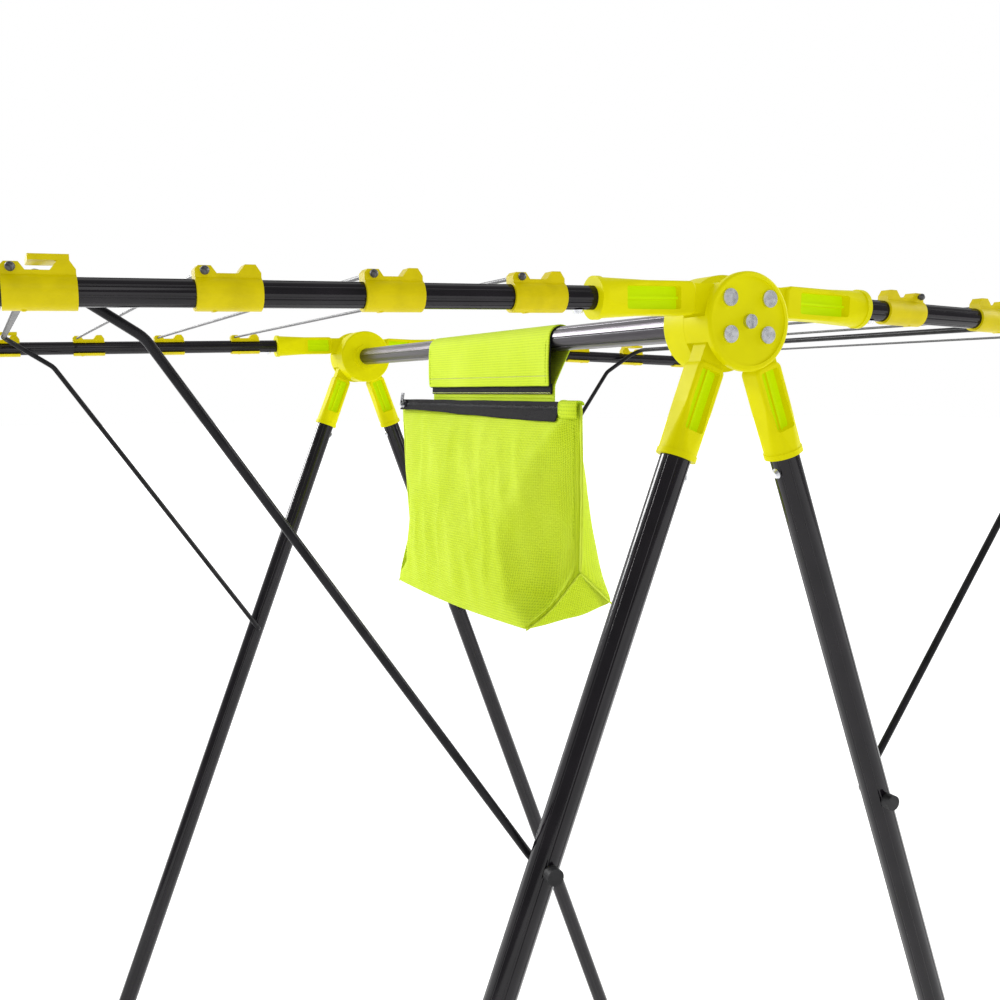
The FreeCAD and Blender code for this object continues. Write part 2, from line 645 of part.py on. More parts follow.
def bag_strap():
    """Strap sewn to the bag's back, over the ridge tube and down the front as a flap."""
    middle = STRAP_INNER + STRAP_THICK / 2
    half = STRAP_THICK / 2
    width = STRAP_FAR - STRAP_NEAR
    outer = Part.makeCylinder(middle + half, width, Vector(0, STRAP_NEAR, 0), Vector(0, 1, 0))
    inner = Part.makeCylinder(middle - half, width, Vector(0, STRAP_NEAR, 0), Vector(0, 1, 0))
    leave = math.atan2(STRAP_JOIN[1], STRAP_JOIN[0]) + math.acos(middle / math.hypot(*STRAP_JOIN))
    reach = 3 * STRAP_INNER
    wedge = [(0, 0), (-reach, 0), (-reach, -reach), (reach, -reach),
             (reach * math.cos(leave), reach * math.sin(leave)), (0, 0)]
    opening = Part.Face(Part.makePolygon([Vector(x, STRAP_NEAR, z) for x, z in wedge]))
    arch = outer.cut(inner).cut(opening.extrude(Vector(0, width, 0)))
    tangent = (middle * math.cos(leave), middle * math.sin(leave))
    back_top = strap_strip(tangent, STRAP_JOIN, STRAP_THICK)
    back_low = strap_strip((STRAP_JOIN[0], STRAP_JOIN[1] + half), (STRAP_JOIN[0], STRAP_BACK_END),
                           STRAP_THICK)
    flap = strap_strip((-middle, 0), FLAP_END, STRAP_THICK)
    return joined([arch, back_top, back_low, flap])


def hook_strip():
    """Hook tape sewn to the front of the strap's back part, below the flap's edge."""
    back = STRAP_JOIN[0] - STRAP_THICK / 2 - 0.05
    low = FLAP_END[1] - TAPE_SHOWING
    return block(back - TAPE_THICK, back, STRAP_NEAR + 2.0, STRAP_FAR - 2.0, low, STRAP_JOIN[1] - 0.5)


def loop_strip():
    """Loop tape sewn inside the flap's end."""
    front = FLAP_END[0] + STRAP_THICK / 2 + 0.1
    low = FLAP_END[1] + 0.5
    return block(front, front + TAPE_THICK, STRAP_NEAR + 2.0, STRAP_FAR - 2.0, low, low + TAPE_HEIGHT)


def zip_tape():
    return block(ZIP_FRONT, ZIP_FRONT + ZIP_THICK, ZIP_NEAR, ZIP_FAR, ZIP_TOP - ZIP_HEIGHT, ZIP_TOP)


def zip_end_tab():
    """Folded fabric tab that closes the zip's near end: over the top and down the front."""
    front = ZIP_FRONT - TAB_THICK
    end = ZIP_NEAR - ZIP_GAP
    over = block(front, BAG_TOP_X + BAG_TOP_HALF, BAG_NEAR, end, BAG_TOP + ZIP_GAP, ZIP_TOP)
    leaf = block(front, ZIP_FRONT, BAG_NEAR, end, ZIP_TOP - TAB_DROP, ZIP_TOP)
    return joined([over, leaf])


def zip_middle():
    """Point on the front of the zip's middle line, where the slider sits."""
    return Vector(ZIP_FRONT - ZIP_GAP, ZIP_FAR - SLIDER_LENGTH / 2 - 1.0, ZIP_TOP - ZIP_HEIGHT / 2)


def pull_axis():
    return zip_middle() - Vector(BRIDGE_REACH - 1.6, 0, 0)


def zip_slider():
    """Slider at the far end of the closed zip, with a bridge for its pull."""
    seat = zip_middle()
    half = SLIDER_LENGTH / 2
    body = block(seat.x - SLIDER_THICK, seat.x, seat.y - half, seat.y + half,
                 seat.z - SLIDER_HALF, seat.z + SLIDER_HALF)
    corners = [edge for edge in body.Edges if edge.BoundBox.XLength > 1.0]
    body = body.makeFillet(2.0, corners)
    bridge = block(seat.x - BRIDGE_REACH, seat.x - SLIDER_THICK + 0.5, seat.y - 2.0, seat.y + 2.0,
                   seat.z - 1.5, seat.z + 1.5)
    axis = pull_axis()
    across = Vector(0, PULL_HALF, 0)
    return joined([body, bridge]).cut(rod(axis - across, axis + across, PULL_PIN + PIN_CLEARANCE))


def zip_pull():
    """Metal pull turned up from the slider on its own cross bar, leaning over the zip."""
    half, edge = PULL_THICK / 2, PULL_HALF
    pin = rod(Vector(0, -edge + 0.6, 0), Vector(0, edge - 0.6, 0), PULL_PIN)
    arms = [block(-half, half, y, y + PULL_ARM, -PULL_PIN, PULL_EYE) for y in (-edge, edge - PULL_ARM)]
    tab = block(-half, half, -edge, edge, PULL_EYE - 2.0, PULL_LENGTH)
    pull = joined([pin, tab] + arms)
    pull.rotate(Vector(0, 0, 0), Vector(0, 1, 0), PULL_LEAN)
    pull.translate(pull_axis())
    return pull


# ---- write every node ----------------------------------------------------------------
def write_ridge():
    save("ridge_tube", ridge_tube())
    save("ridge_plugs", Part.makeCompound([ridge_plug(middle, inward) for _, middle, inward in ENDS]))
    for end, middle, inward in ENDS:
        save("%s_hub_inner_cover" % end, hub_inner_cover(middle, inward))
        save("%s_hub_outer_cover" % end, hub_outer_cover(middle, inward))
        save("%s_hub_pins" % end, hub_pins(middle, inward))
        save("%s_hub_screw" % end, hub_screw(middle, inward))


def write_legs(name, side):
    pocket = (POCKET_START, LEG_SOCKET - COLLAR_LENGTH - POCKET_END_WALL)
    leg_socket = socket(LEG_SOCKET, LEG_RADIUS, (pocket, pocket))
    screws = []
    for end, middle, inward in ENDS:
        save("%s_%s_leg_tube" % (end, name), leg_tube(side, middle))
        save("%s_%s_leg_socket" % (end, name), placed(leg_socket, leg_pin(side, middle), side, LEG_DOWN))
        save("%s_%s_foot" % (end, name), foot(side, middle))
        screws.append(screw(*leg_screw_place(side, middle)))
    save("%s_leg_screws" % name, Part.makeCompound(screws))


def write_wing(name, side):
    screws = []
    for end, middle, inward in ENDS:
        save("%s_%s_arm_tube" % (end, name), arm_tube(side, middle))
        arm_socket = socket(ARM_SOCKET, ARM_RADIUS, arm_pockets(inward))
        save("%s_%s_arm_socket" % (end, name), placed(arm_socket, arm_pin(side, middle), side, ARM_DROOP))
        save("%s_%s_arm_clips" % (end, name), arm_clips(side, middle, inward))
        save("%s_%s_arm_cap" % (end, name), arm_cap(side, middle))
        screws.append(screw(*arm_screw_place(side, middle)))
    save("%s_arm_screws" % name, Part.makeCompound(screws))
    save("%s_bail_rests" % name, bail_rests(side))
    save("%s_lines" % name, wing_lines(side))


def write_bag():
    save("bag_body", bag_body())
    save("bag_strap", bag_strap())
    save("hook_strip", hook_strip())
    save("loop_strip", loop_strip())
    save("zip_tape", zip_tape())
    save("zip_end_tab", zip_end_tab())
    save("zip_slider", zip_slider())
    save("zip_pull", zip_pull())


os.makedirs("parts", exist_ok=True)
write_ridge()
for side_name, side_sign in SIDES:
    write_legs(side_name, side_sign)
    write_wing(side_name, side_sign)
    save("%s_bail" % side_name, bail(side_sign))
    save("%s_bail_caps" % side_name, bail_caps(side_sign))
write_bag()
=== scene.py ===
"""Looks of the folding clothes airer: materials, fabric peg bag, zip, floor, lights and camera.

Metres, in the row frame: +Z up, +Y along the ridge tube, left is -X, near is -Y.
"""

import json
import math

import bmesh
import bpy
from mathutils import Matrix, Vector, noise


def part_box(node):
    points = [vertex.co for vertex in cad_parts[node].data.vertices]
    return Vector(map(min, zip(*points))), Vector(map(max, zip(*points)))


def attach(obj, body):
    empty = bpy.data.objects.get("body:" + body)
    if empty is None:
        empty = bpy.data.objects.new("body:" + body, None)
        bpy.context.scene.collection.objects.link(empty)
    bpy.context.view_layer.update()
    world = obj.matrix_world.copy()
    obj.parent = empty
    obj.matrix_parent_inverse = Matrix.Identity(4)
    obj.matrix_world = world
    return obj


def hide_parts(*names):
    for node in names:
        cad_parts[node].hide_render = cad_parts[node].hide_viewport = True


MM = 0.001

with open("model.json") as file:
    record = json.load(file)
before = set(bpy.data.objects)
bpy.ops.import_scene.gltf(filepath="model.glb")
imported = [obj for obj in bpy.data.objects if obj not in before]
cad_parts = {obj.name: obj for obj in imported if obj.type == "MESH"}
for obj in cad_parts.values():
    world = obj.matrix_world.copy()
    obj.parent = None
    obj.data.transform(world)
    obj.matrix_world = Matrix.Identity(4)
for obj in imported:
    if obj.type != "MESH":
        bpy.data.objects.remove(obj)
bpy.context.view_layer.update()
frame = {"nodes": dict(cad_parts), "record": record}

RIDGE_LOW, RIDGE_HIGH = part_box("ridge_tube")
RIDGE_Z = (RIDGE_LOW.z + RIDGE_HIGH.z) / 2
RIDGE_RADIUS = (RIDGE_HIGH.z - RIDGE_LOW.z) / 2
FRAME_Y = (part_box("far_left_leg_tube")[0].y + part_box("far_left_leg_tube")[1].y) / 2


# ---- camera --------------------------------------------------------------------------
def add_camera():
    """Camera beside the near frame, a little below the ridge, looking along and across it."""
    data = bpy.data.cameras.new("camera")
    data.sensor_width = 36.0
    data.lens = 38.9
    data.clip_start = 0.02
    camera = bpy.data.objects.new("camera", data)
    camera.location = (-0.4846, -1.0455, RIDGE_Z - 0.0486)
    camera.rotation_euler = (math.radians(90.0 - 5.71), 0.0, math.radians(-25.73))
    bpy.context.scene.collection.objects.link(camera)
    bpy.context.scene.camera = camera


# ---- material helpers ----------------------------------------------------------------
class Shade:
    """One Principled material with short calls for the nodes that it needs."""

    def __init__(self, name, roughness=0.5, metallic=0.0):
        self.material = bpy.data.materials.new(name)
        self.material.use_nodes = True
        self.nodes = self.material.node_tree.nodes
        self.links = self.material.node_tree.links
        self.bsdf = self.nodes["Principled BSDF"]
        self.set("Roughness", roughness)
        self.set("Metallic", metallic)

    def set(self, socket, value):
        self.bsdf.inputs[socket].default_value = value

    def add(self, kind, **values):
        node = self.nodes.new(kind)
        for key, value in values.items():
            setattr(node, key, value)
        return node

    def feed(self, socket, value):
        """Link an output, or store a plain value."""
        if hasattr(value, "links"):
            self.links.new(value, socket)
        else:
            socket.default_value = value

    def math(self, operation, first, second=0.0, third=0.0):
        node = self.add("ShaderNodeMath", operation=operation)
        for socket, value in zip(node.inputs, (first, second, third)):
            self.feed(socket, value)
        return node.outputs[0]

    def place(self):
        """Object coordinates, which are metres in the row frame."""
        return self.add("ShaderNodeTexCoord").outputs["Object"]

    def axes(self, vector):
        node = self.add("ShaderNodeSeparateXYZ")
        self.links.new(vector, node.inputs[0])
        return node.outputs

    def noise(self, scale, detail=3.0, vector=None, stretch=None):
        node = self.add("ShaderNodeTexNoise")
        node.inputs["Scale"].default_value = scale
        node.inputs["Detail"].default_value = detail
        source = vector or self.place()
        if stretch:
            mapping = self.add("ShaderNodeMapping")
            mapping.inputs["Scale"].default_value = stretch
            self.links.new(source, mapping.inputs["Vector"])
            source = mapping.outputs[0]
        self.links.new(source, node.inputs["Vector"])
        return node.outputs["Fac"]

    def ramp(self, fac, low, high, start=0.0, end=1.0):
        node = self.add("ShaderNodeValToRGB")
        node.color_ramp.elements[0].position = start
        node.color_ramp.elements[0].color = (*low, 1.0)
        node.color_ramp.elements[1].position = end
        node.color_ramp.elements[1].color = (*high, 1.0)
        self.links.new(fac, node.inputs[0])
        return node.outputs[0]

    def mix(self, fac, first, second, blend_type="MIX"):
        node = self.add("ShaderNodeMix", data_type="RGBA", blend_type=blend_type)
        self.feed(node.inputs[0], fac)
        for socket, value in ((node.inputs[6], first), (node.inputs[7], second)):
            if hasattr(value, "links"):
                self.links.new(value, socket)
            else:
                socket.default_value = (*value, 1.0)
        return node.outputs[2]

    def color(self, output):
        self.links.new(output, self.bsdf.inputs["Base Color"])

    def painted_glow(self, output, body, strength):
        """Painted glow for the fluorescent plastic: part of the colour is reflected and part is given off as
        light of its own, which lifts its shade.
        """
        dimmer = self.mix(1.0, output, (body, body, body), "MULTIPLY")
        self.color(dimmer)
        self.links.new(output, self.bsdf.inputs["Emission Color"])
        self.set("Emission Strength", strength)

    def rough(self, fac, low, high):
        node = self.add("ShaderNodeMapRange")
        node.inputs["To Min"].default_value = low
        node.inputs["To Max"].default_value = high
        self.links.new(fac, node.inputs["Value"])
        self.links.new(node.outputs[0], self.bsdf.inputs["Roughness"])

    def bump(self, height, distance, strength=1.0, after=None):
        node = self.add("ShaderNodeBump")
        node.inputs["Strength"].default_value = strength
        node.inputs["Distance"].default_value = distance
        self.links.new(height, node.inputs["Height"])
        if after:
            self.links.new(after, node.inputs["Normal"])
        self.links.new(node.outputs[0], self.bsdf.inputs["Normal"])
        return node.outputs[0]


def add_edge_wear(shade, base, worn, low=0.53, high=0.62):
    """Lighter colour on convex edges, in patches; low and high bound the edge's sharpness."""
    point = shade.add("ShaderNodeNewGeometry").outputs["Pointiness"]
    span = shade.add("ShaderNodeMapRange")
    span.inputs["From Min"].default_value = low
    span.inputs["From Max"].default_value = high
    shade.links.new(point, span.inputs["Value"])
    patch = shade.noise(90.0, 4.0)
    fac = shade.math("MULTIPLY", span.outputs[0], patch)
    return shade.mix(fac, base, worn)


# ---- materials -----------------------------------------------------------------------
NEON = (0.80, 0.76, 0.0)
NEON_DEEP = (0.70, 0.66, 0.0)
POCKET_SHADE_LIME = (0.66, 0.94, 0.0)
CLIP_YELLOW = (0.72, 0.60, 0.0)
CLIP_DEEP = (0.58, 0.48, 0.0)
FABRIC = (0.52, 0.67, 0.012)
FABRIC_DEEP = (0.22, 0.36, 0.0)
FABRIC_PALE = (0.60, 0.74, 0.05)
# How far a pocket's floor may lie from the middle plane of its end frame.
POCKET_DEPTH = 6.5 * MM
GROOVE_DEPTH = 0.15 * MM
DUST_HEIGHT = 12.0 * MM
BAG_WEAVE = 5.0 * MM
FINE_WEAVE = 0.9 * MM
TAPE_WEAVE = 0.6 * MM
LINING_WEAVE = 0.8 * MM
# Half of the lower flank that gets a painted shade, a darker reflection, as an angle round the ridge tube.
FLANK_HALF = 0.39


def neon_plastic():
    """Moulded neon plastic with a painted glow; the pocket floors of the sockets get a greener lime, which
    is painted shade.
    """
    shade = Shade("neon_plastic", roughness=0.4)
    cloud = shade.noise(22.0)
    base = shade.ramp(cloud, NEON_DEEP, NEON, 0.25, 0.6)
    y = shade.axes(shade.place())["Y"]
    depth = shade.math("ABSOLUTE", shade.math("SUBTRACT", shade.math("ABSOLUTE", y), FRAME_Y))
    floor = shade.math("LESS_THAN", depth, POCKET_DEPTH)
    normal_y = shade.axes(shade.add("ShaderNodeNewGeometry").outputs["Normal"])[1]
    facing = shade.math("GREATER_THAN", shade.math("ABSOLUTE", normal_y), 0.7)
    # Painted shade: pocket floors that face along Y get the greener lime that this plastic shows in shade.
    base = shade.mix(shade.math("MULTIPLY", floor, facing), base, POCKET_SHADE_LIME)
    # Painted glow: the plastic gives off light of its own, which lifts its shade.
    shade.painted_glow(base, 0.52, 0.36)
    shade.rough(shade.noise(60.0, 5.0), 0.34, 0.5)
    shade.bump(shade.noise(900.0, 2.0), 0.00006, 0.5)
    shade.set("Specular IOR Level", 0.05)
    return shade.material


def clip_plastic():
    shade = Shade("clip_plastic", roughness=0.38)
    # Painted glow: the clip gives off light of its own, which lifts its shade.
    shade.painted_glow(shade.ramp(shade.noise(70.0), CLIP_DEEP, CLIP_YELLOW, 0.2, 0.6), 0.6, 0.3)
    shade.rough(shade.noise(120.0, 4.0), 0.3, 0.46)
    shade.bump(shade.noise(1100.0, 2.0), 0.00005, 0.5)
    shade.set("Specular IOR Level", 0.12)
    return shade.material


def black_tube():
    """Gloss black lacquer on drawn tube, with faint drawing lines and scuffs."""
    shade = Shade("black_tube", roughness=0.2)
    scuff = shade.noise(35.0, 6.0)
    base = shade.ramp(scuff, (0.005, 0.004, 0.006), (0.011, 0.009, 0.012), 0.35, 0.75)
    shade.color(base)
    shade.rough(shade.noise(18.0, 6.0), 0.08, 0.14)
    shade.bump(shade.noise(260.0, 3.0), 0.00004, 0.2)
    shade.set("Specular IOR Level", 0.32)
    return shade.material


def ridge_metal():
    """Satin grey tube, with painted shade in its grooves and a painted darker reflection on the lower flank
    of both sides.
    """
    shade = Shade("ridge_metal", roughness=0.3, metallic=0.85)
    x, _, z = shade.axes(shade.place())
    height = shade.math("SUBTRACT", z, RIDGE_Z)
    squares = shade.math("ADD", shade.math("MULTIPLY", x, x), shade.math("MULTIPLY", height, height))
    radius = shade.math("SQRT", squares)
    # Painted shade: the grooves get a near-black colour.
    groove_shade = shade.math("LESS_THAN", radius, RIDGE_RADIUS - GROOVE_DEPTH)
    streak = shade.noise(40.0, 5.0, stretch=(12.0, 0.5, 12.0))
    base = shade.ramp(streak, (0.055, 0.048, 0.057), (0.115, 0.103, 0.118), 0.3, 0.7)
    angle = shade.math("ARCTAN2", height, shade.math("ABSOLUTE", x))
    off_flank = shade.math("ABSOLUTE", shade.math("ADD", angle, FLANK_HALF))
    # Painted shade: a darker reflection on the lower flank of both sides.
    painted_flank_shade = shade.math("LESS_THAN", off_flank, FLANK_HALF)
    base = shade.mix(shade.math("MULTIPLY", painted_flank_shade, 0.62), base, (0.02, 0.018, 0.022))
    shade.color(shade.mix(groove_shade, base, (0.012, 0.011, 0.014)))
    shade.rough(streak, 0.26, 0.36)
    shade.bump(shade.noise(300.0, 3.0, stretch=(4.0, 0.4, 4.0)), 0.00006, 0.4)
    return shade.material


def black_wire():
    shade = Shade("black_wire", roughness=0.35)
    base = shade.ramp(shade.noise(60.0, 5.0), (0.006, 0.006, 0.007), (0.018, 0.017, 0.020), 0.35, 0.7)
    shade.color(add_edge_wear(shade, base, (0.08, 0.08, 0.08)))
    shade.set("Specular IOR Level", 0.14)
    shade.rough(shade.noise(80.0), 0.26, 0.44)
    shade.bump(shade.noise(1500.0, 2.0), 0.00006, 0.5)
    return shade.material


def black_plastic():
    shade = Shade("black_plastic", roughness=0.5)
    shade.color(shade.ramp(shade.noise(90.0), (0.012, 0.012, 0.013), (0.028, 0.028, 0.030), 0.3, 0.7))
    shade.rough(shade.noise(150.0), 0.42, 0.6)
    shade.bump(shade.noise(1400.0, 2.0), 0.00008, 0.6)
    shade.set("Specular IOR Level", 0.2)
    return shade.material


def foot_rubber():
    shade = Shade("foot_rubber", roughness=0.8)
    z = shade.axes(shade.place())["Z"]
    dust = shade.math("MULTIPLY", shade.noise(160.0, 6.0), shade.math("LESS_THAN", z, DUST_HEIGHT))
    base = shade.ramp(shade.noise(60.0), (0.014, 0.014, 0.014), (0.032, 0.031, 0.030), 0.3, 0.7)
    shade.color(shade.mix(dust, base, (0.16, 0.15, 0.13)))
    shade.rough(shade.noise(80.0), 0.7, 0.9)
    shade.bump(shade.noise(900.0, 3.0), 0.00015, 0.7)
    return shade.material


def zinc_steel():
    shade = Shade("zinc_steel", roughness=0.28, metallic=1.0)
    shade.color(shade.ramp(shade.noise(220.0, 4.0), (0.52, 0.53, 0.56), (0.78, 0.79, 0.82), 0.3, 0.7))
    shade.rough(shade.noise(300.0, 4.0), 0.18, 0.38)
    shade.bump(shade.noise(700.0, 3.0), 0.00004, 0.4)
    return shade.material


def line_cord():
    """Plastic-sheathed line with a faint lay from the core inside."""
    shade = Shade("line_cord", roughness=0.42)
    wave = shade.add("ShaderNodeTexWave", wave_type="BANDS", bands_direction="DIAGONAL")
    wave.inputs["Scale"].default_value = 260.0
    shade.links.new(shade.place(), wave.inputs["Vector"])
    shade.color(shade.ramp(wave.outputs["Fac"], (0.028, 0.028, 0.031), (0.075, 0.074, 0.080)))
    shade.bump(wave.outputs["Fac"], 0.0001, 0.6)
    return shade.material


def woven(name, deep, base, pale, pitch, roughness=0.72, depth=0.00022, sheen=0.04, gloss=0.1):
    """Plain weave from the piece's own cloth coordinates, which are metres of fabric."""
    shade = Shade(name, roughness=roughness)
    cloth = shade.add("ShaderNodeTexCoord").outputs["UV"]
    u, v, _ = shade.axes(cloth)
    turn = 2.0 * math.pi / pitch
    warp = shade.math("SINE", shade.math("MULTIPLY", u, turn))
    weft = shade.math("SINE", shade.math("MULTIPLY", v, turn))
    over = shade.math("MULTIPLY", warp, weft)
    ridges = shade.math("ADD", shade.math("ABSOLUTE", warp), shade.math("ABSOLUTE", weft))
    slub = shade.noise(420.0, 3.0, vector=cloth, stretch=(1.0, 0.18, 1.0))
    height = shade.math("ADD", shade.math("MULTIPLY", over, 0.2), shade.math("MULTIPLY", ridges, 0.5))
    height = shade.math("ADD", height, shade.math("MULTIPLY", slub, 0.3))
    pits = shade.add("ShaderNodeMapRange")
    pits.inputs["From Min"].default_value = 0.15
    pits.inputs["From Max"].default_value = 0.72
    shade.links.new(height, pits.inputs["Value"])
    threads = shade.mix(pits.outputs[0], deep, base)
    cloud = shade.noise(14.0, 4.0)
    fade = shade.math("MULTIPLY", shade.math("SUBTRACT", cloud, 0.42), 1.4)
    fade.node.use_clamp = True
    shade.color(shade.mix(fade, threads, pale))
    shade.rough(slub, roughness - 0.08, min(roughness + 0.12, 1.0))
    shade.bump(height, depth, 0.7)
    shade.set("Sheen Weight", sheen)
    shade.set("Sheen Roughness", 0.5)
    shade.set("Specular IOR Level", gloss)
    return shade


def bag_fabric():
    """Oxford weave of the bag, coarse enough for its threads to show."""
    shade = woven("bag_fabric", FABRIC_DEEP, FABRIC, FABRIC_PALE, BAG_WEAVE, depth=0.0005)
    return shade.material


def strap_fabric():
    shade = woven("strap_fabric", FABRIC_DEEP, FABRIC, FABRIC_PALE, BAG_WEAVE, roughness=0.7)
    return shade.material


def piping_fabric():
    shade = woven("piping_fabric", (0.40, 0.56, 0.01), (0.60, 0.74, 0.04), (0.68, 0.80, 0.10), FINE_WEAVE)
    return shade.material


def zip_fabric():
    shade = woven("zip_fabric", (0.002, 0.002, 0.002), (0.010, 0.009, 0.011), (0.018, 0.017, 0.020),
                  TAPE_WEAVE, roughness=0.6, depth=0.0001, sheen=0.0, gloss=0.05)
    return shade.material


def lining_fabric():
    shade = woven("lining_fabric", (0.002, 0.002, 0.002), (0.007, 0.007, 0.008), (0.013, 0.013, 0.015),
                  LINING_WEAVE, roughness=0.85, depth=0.0002, sheen=0.02, gloss=0.1)
    return shade.material


def hook_pile():
    """Napped black tape: tight rows of hooks or loops."""
    shade = Shade("hook_pile", roughness=0.9)
    cloth = shade.add("ShaderNodeTexCoord").outputs["UV"]
    pile = shade.noise(1600.0, 4.0, vector=cloth)
    tufts = shade.add("ShaderNodeTexVoronoi")
    tufts.inputs["Scale"].default_value = 900.0
    shade.links.new(cloth, tufts.inputs["Vector"])
    low, high = (0.003, 0.003, 0.003), (0.016, 0.016, 0.018)
    shade.color(shade.ramp(tufts.outputs["Distance"], low, high, 0.1, 0.7))
    shade.bump(shade.math("ADD", pile, tufts.outputs["Distance"]), 0.0005, 0.8)
    shade.set("Sheen Weight", 0.04)
    shade.set("Sheen Roughness", 0.6)
    shade.set("Specular IOR Level", 0.1)
    return shade.material


def thread(name, low, high):
    """Twisted sewing thread."""
    shade = Shade(name, roughness=0.65)
    shade.color(shade.ramp(shade.noise(1800.0, 3.0), low, high, 0.35, 0.65))
    shade.bump(shade.noise(2600.0, 2.0), 0.00005, 0.6)
    shade.set("Specular IOR Level", 0.1)
    return shade.material


def coil_plastic():
    shade = Shade("coil_plastic", roughness=0.35)
    shade.color(shade.ramp(shade.noise(500.0), (0.012, 0.012, 0.014), (0.04, 0.04, 0.045), 0.3, 0.7))
    shade.bump(shade.noise(1500.0), 0.00003, 0.4)
    shade.set("Specular IOR Level", 0.25)
    return shade.material


def zip_metal():
    """Dark nickel, worn bright on its edges."""
    shade = Shade("zip_metal", roughness=0.32, metallic=1.0)
    base = shade.ramp(shade.noise(380.0, 4.0), (0.07, 0.07, 0.08), (0.16, 0.16, 0.18), 0.3, 0.7)
    shade.color(add_edge_wear(shade, base, (0.62, 0.62, 0.66)))
    shade.rough(shade.noise(500.0, 4.0), 0.2, 0.42)
    shade.bump(shade.noise(900.0), 0.00003, 0.5)
    return shade.material


MATERIALS = {
    "neon_plastic": neon_plastic(),
    "clip_plastic": clip_plastic(),
    "black_tube": black_tube(),
    "ridge_tube": ridge_metal(),
    "foot_rubber": foot_rubber(),
    "black_plastic": black_plastic(),
    "zinc_steel": zinc_steel(),
    "line_cord": line_cord(),
    "black_wire": black_wire(),
    "bag_fabric": bag_fabric(),
    "hook_and_loop": hook_pile(),
    "zip_tape": zip_fabric(),
    "zip_metal": zip_metal(),
}
STRAP = strap_fabric()
PIPING = piping_fabric()
LINING = lining_fabric()
COIL = coil_plastic()
LIME_THREAD = thread("lime_thread", (0.42, 0.56, 0.0), (0.60, 0.74, 0.02))
PALE_THREAD = thread("pale_thread", (0.50, 0.56, 0.14), (0.80, 0.84, 0.42))


def dress_frame():
    """Give every CAD node the material of its slot."""
    slots = {part["node"]: part["material_slot"] for part in frame["record"]["subparts"]}
    for name, node in frame["nodes"].items():
        node.data.materials.clear()
        node.data.materials.append(MATERIALS[slots[name]])


# ---- mesh helpers --------------------------------------------------------------------
def new_piece(name, mesh, material, body, replaced=()):
    """Make a piece from a mesh, give it its material and let it ride on its body."""
    piece = bpy.data.objects.new(name, mesh)
    bpy.context.scene.collection.objects.link(piece)
    mesh.materials.append(material)
    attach(piece, body)
    if replaced:
        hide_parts(*replaced)
    return piece


def grid_mesh(name, columns, rows, place, cloth, wrap=False):
    """Grid of quads. place(i, j) is a point in metres; cloth(i, j) is its spot on the fabric."""
    verts = [place(i, j) for j in range(rows) for i in range(columns)]
    faces = []
    spots = []
    last = columns if wrap else columns - 1
    for j in range(rows - 1):
        for i in range(last):
            ring = ((i, j), (i + 1, j), (i + 1, j + 1), (i, j + 1))
            faces.append([row * columns + (column % columns) for column, row in ring])
            spots.extend(cloth(column, row) for column, row in ring)
    mesh = bpy.data.meshes.new(name)
    mesh.from_pydata([tuple(v) for v in verts], [], faces)
    layer = mesh.uv_layers.new(name="cloth")
    for loop, spot in zip(layer.data, spots):
        loop.uv = spot
    smooth_faces(mesh)
    mesh.update()
    return mesh


def thicken(piece, thickness, offset=0.0, levels=1):
    """Turn a sheet into cloth of real thickness with softened edges."""
    solid = piece.modifiers.new("thickness", "SOLIDIFY")
    solid.thickness = thickness
    solid.offset = offset
    if levels:
        smooth = piece.modifiers.new("smooth", "SUBSURF")
        smooth.levels = levels
        smooth.render_levels = levels


def smooth_faces(mesh):
    mesh.polygons.foreach_set("use_smooth", [True] * len(mesh.polygons))


def mesh_from(bm, name):
    """Smooth mesh from a finished bmesh."""
    mesh = bpy.data.meshes.new(name)
    bm.to_mesh(mesh)
    bm.free()
    smooth_faces(mesh)
    return mesh


def skin(bm, rings):
    """Join rings of equal size with quads and close both ends."""
    sides = len(rings[0])
    for low, high in zip(rings, rings[1:]):
        for step in range(sides):
            after = (step + 1) % sides
            bm.faces.new((low[step], low[after], high[after], high[step]))
    bm.faces.new(list(reversed(rings[0])))
    bm.faces.new(rings[-1])


def tube_mesh(name, points, radius, sides=8):
    """Round cord along a list of points, closed at its ends."""
    bm = bmesh.new()
    rings = []
    for index, point in enumerate(points):
        ahead = points[min(index + 1, len(points) - 1)]
        behind = points[max(index - 1, 0)]
        along = (ahead - behind).normalized()
        side = along.orthogonal().normalized()
        if rings:
            side = (previous - along * previous.dot(along)).normalized()
        previous = side
        up = along.cross(side)
        ring = []
        for step in range(sides):
            angle = 2.0 * math.pi * step / sides
            ring.append(bm.verts.new(point + (side * math.cos(angle) + up * math.sin(angle)) * radius))
        rings.append(ring)
    skin(bm, rings)
    return mesh_from(bm, name)


def stitch_mesh(name, points, normals, pitch, length, radius):
    """Row of separate stitches that follow a line just above the cloth."""
    bm = bmesh.new()
    travelled = 0.0
    next_at = pitch / 2
    for start, end, normal in zip(points, points[1:], normals):
        gap = (end - start).length
        while gap > 0 and next_at <= travelled + gap:
            centre = start.lerp(end, (next_at - travelled) / gap)
            add_stitch(bm, centre, (end - start).normalized(), normal, length, radius)
            next_at += pitch
        travelled += gap
    return mesh_from(bm, name)


def add_stitch(bm, centre, along, normal, length, radius):
    """One stitch: a short thread that rises from the cloth and dips back into it."""
    side = along.cross(normal).normalized()
    stations = ((-0.5, -0.6), (-0.32, 0.35), (0.0, 0.6), (0.32, 0.35), (0.5, -0.6))
    sides = 6
    rings = []
    for step_along, rise in stations:
        middle = centre + along * (length * step_along) + normal * (radius * rise)
        thin = 0.55 if abs(step_along) > 0.4 else 1.0
        ring = []
        for step in range(sides):
            angle = 2.0 * math.pi * step / sides
            offset = side * math.cos(angle) + normal * math.sin(angle)
            ring.append(bm.verts.new(middle + offset * radius * thin))
        rings.append(ring)
    skin(bm, rings)


def smooth_step(value):
    value = max(0.0, min(1.0, value))
    return value * value * (3.0 - 2.0 * value)


